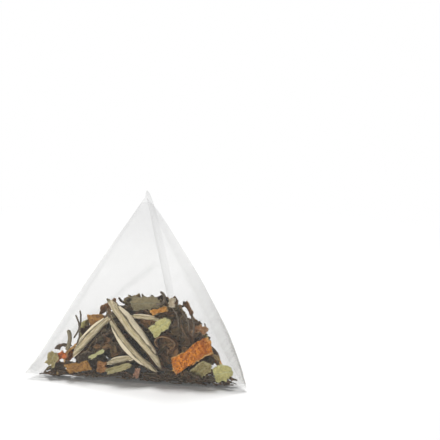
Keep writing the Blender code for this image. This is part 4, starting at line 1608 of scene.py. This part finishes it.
class TEABAG_OT_leaves(bpy.types.Operator):
    """Makes the flat, ring-like and toothed leaf pieces"""

    bl_idname = "teabag.leaves"
    bl_label = "Make the leaves"

    def execute(self, context):
        tea = context.scene.teabag_tea
        finishes = {
            kind: leaf_finish(kind, tuple(getattr(tea, kind)), *shades)
            for kind, shades in LEAF_SHADES.items()
        }
        for node, kind in LEAVES.items():
            ring = node == RING_LEAF
            move = leaf_move(tea, RING_TEAR if ring else 1.0)
            dress(node, finishes[kind], 3, move, RING_LEAF_WALL if ring else LEAF_WALL)
        return {"FINISHED"}


class TEABAG_OT_peel(bpy.types.Operator):
    """Makes the chips of dried citrus peel"""

    bl_idname = "teabag.peel"
    bl_label = "Make the peel"

    def execute(self, context):
        tea = context.scene.teabag_tea
        finishes = {
            kind: peel_finish(kind, tuple(getattr(tea, f"{kind}_zest")), *shades)
            for kind, shades in PEEL_SHADES.items()
        }
        move = peel_move(tea)
        for node, kind in PEEL.items():
            dress(node, finishes[kind], 4 if node == LARGE_CHIP else 3, move)
        return {"FINISHED"}


class TEABAG_OT_stems(bpy.types.Operator):
    """Makes the twigs, the hooked stem and the cut stem"""

    bl_idname = "teabag.stems"
    bl_label = "Make the stems"

    def execute(self, context):
        finishes = {kind: stem_finish(kind, *shades) for kind, shades in STEM_SHADES.items()}
        for node, kind in STEMS.items():
            dress(node, finishes[kind], 2, stem_move)
        return {"FINISHED"}


class TEABAG_OT_twists(bpy.types.Operator):
    """Makes the dark leaves that are rolled and twisted along their length"""

    bl_idname = "teabag.twists"
    bl_label = "Make the twisted leaves"

    def execute(self, context):
        tea = context.scene.teabag_tea
        material = fired_finish(tea, "twisted_leaf", 0.0)
        for node in TWISTS:
            mesh = rolled_leaf(node, tea.seed)
            add_piece(f"{node}_detail", mesh, material, [node])
        return {"FINISHED"}


class TEABAG_OT_heap(bpy.types.Operator):
    """Fills the bag with loose broken leaf, twigs and crumbs round a middle coloured near black as painted
    shade
    """

    bl_idname = "teabag.heap"
    bl_label = "Fill the bag"

    def execute(self, context):
        tea = context.scene.teabag_tea
        shown = [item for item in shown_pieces() if item.name.endswith("_detail")]
        named = tree_of(shown)
        finish = fired_finish(tea, "loose_tea", 0.0)
        broad = add_piece("broad_leaves", lay_broad(tea, named).mesh("broad_leaves"), finish)
        featured = tree_of([item for item in shown if "twist_" not in item.name] + [broad])
        core = divide(cut_by_node("crumbled_tea"), "heap_middle", 1)
        mound = mesh_tree(places_of(core), [face.vertices for face in core.polygons])
        shrink(core)
        # painted shade: the heap's middle is coloured near black, for the dark gaps between the loose bits
        add_piece("heap_middle", core, fired_finish(tea, "heap_middle", 0.6), ["crumbled_tea"])
        for name, heap in fill_heap(tea, named, featured, mound).items():
            add_piece(name, heap.mesh(name), finish)
        return {"FINISHED"}


OPERATORS = (
    TEABAG_OT_stage,
    TEABAG_OT_bag,
    TEABAG_OT_buds,
    TEABAG_OT_leaves,
    TEABAG_OT_peel,
    TEABAG_OT_stems,
    TEABAG_OT_twists,
    TEABAG_OT_heap,
)
SETTINGS = {
    "teabag_cloth": ClothSettings,
    "teabag_tea": TeaSettings,
    "teabag_stage": StageSettings,
}


class TEABAG_PT_panel(bpy.types.Panel):
    """Sizes and colours of the tea bag, and a button for each group of pieces"""

    bl_idname = "TEABAG_PT_panel"
    bl_label = "Pyramid tea bag"
    bl_space_type = "VIEW_3D"
    bl_region_type = "UI"
    bl_category = "Tea bag"

    def draw(self, context):
        for group, kind in SETTINGS.items():
            box = self.layout.box()
            for name in kind.__annotations__:
                box.prop(getattr(context.scene, group), name)
        for operator in OPERATORS:
            self.layout.operator(operator.bl_idname)


CLASSES = (*SETTINGS.values(), *OPERATORS, TEABAG_PT_panel)


def register():
    for kind in CLASSES:
        bpy.utils.register_class(kind)
    for group, kind in SETTINGS.items():
        setattr(bpy.types.Scene, group, PointerProperty(type=kind))


def unregister():
    for group in SETTINGS:
        delattr(bpy.types.Scene, group)
    for kind in reversed(CLASSES):
        bpy.utils.unregister_class(kind)


def main():
    register()
    bpy.ops.teabag.stage()
    bpy.ops.teabag.bag()
    bpy.ops.teabag.buds()
    bpy.ops.teabag.leaves()
    bpy.ops.teabag.peel()
    bpy.ops.teabag.stems()
    bpy.ops.teabag.twists()
    bpy.ops.teabag.heap()


if __name__ == "__main__":
    main()
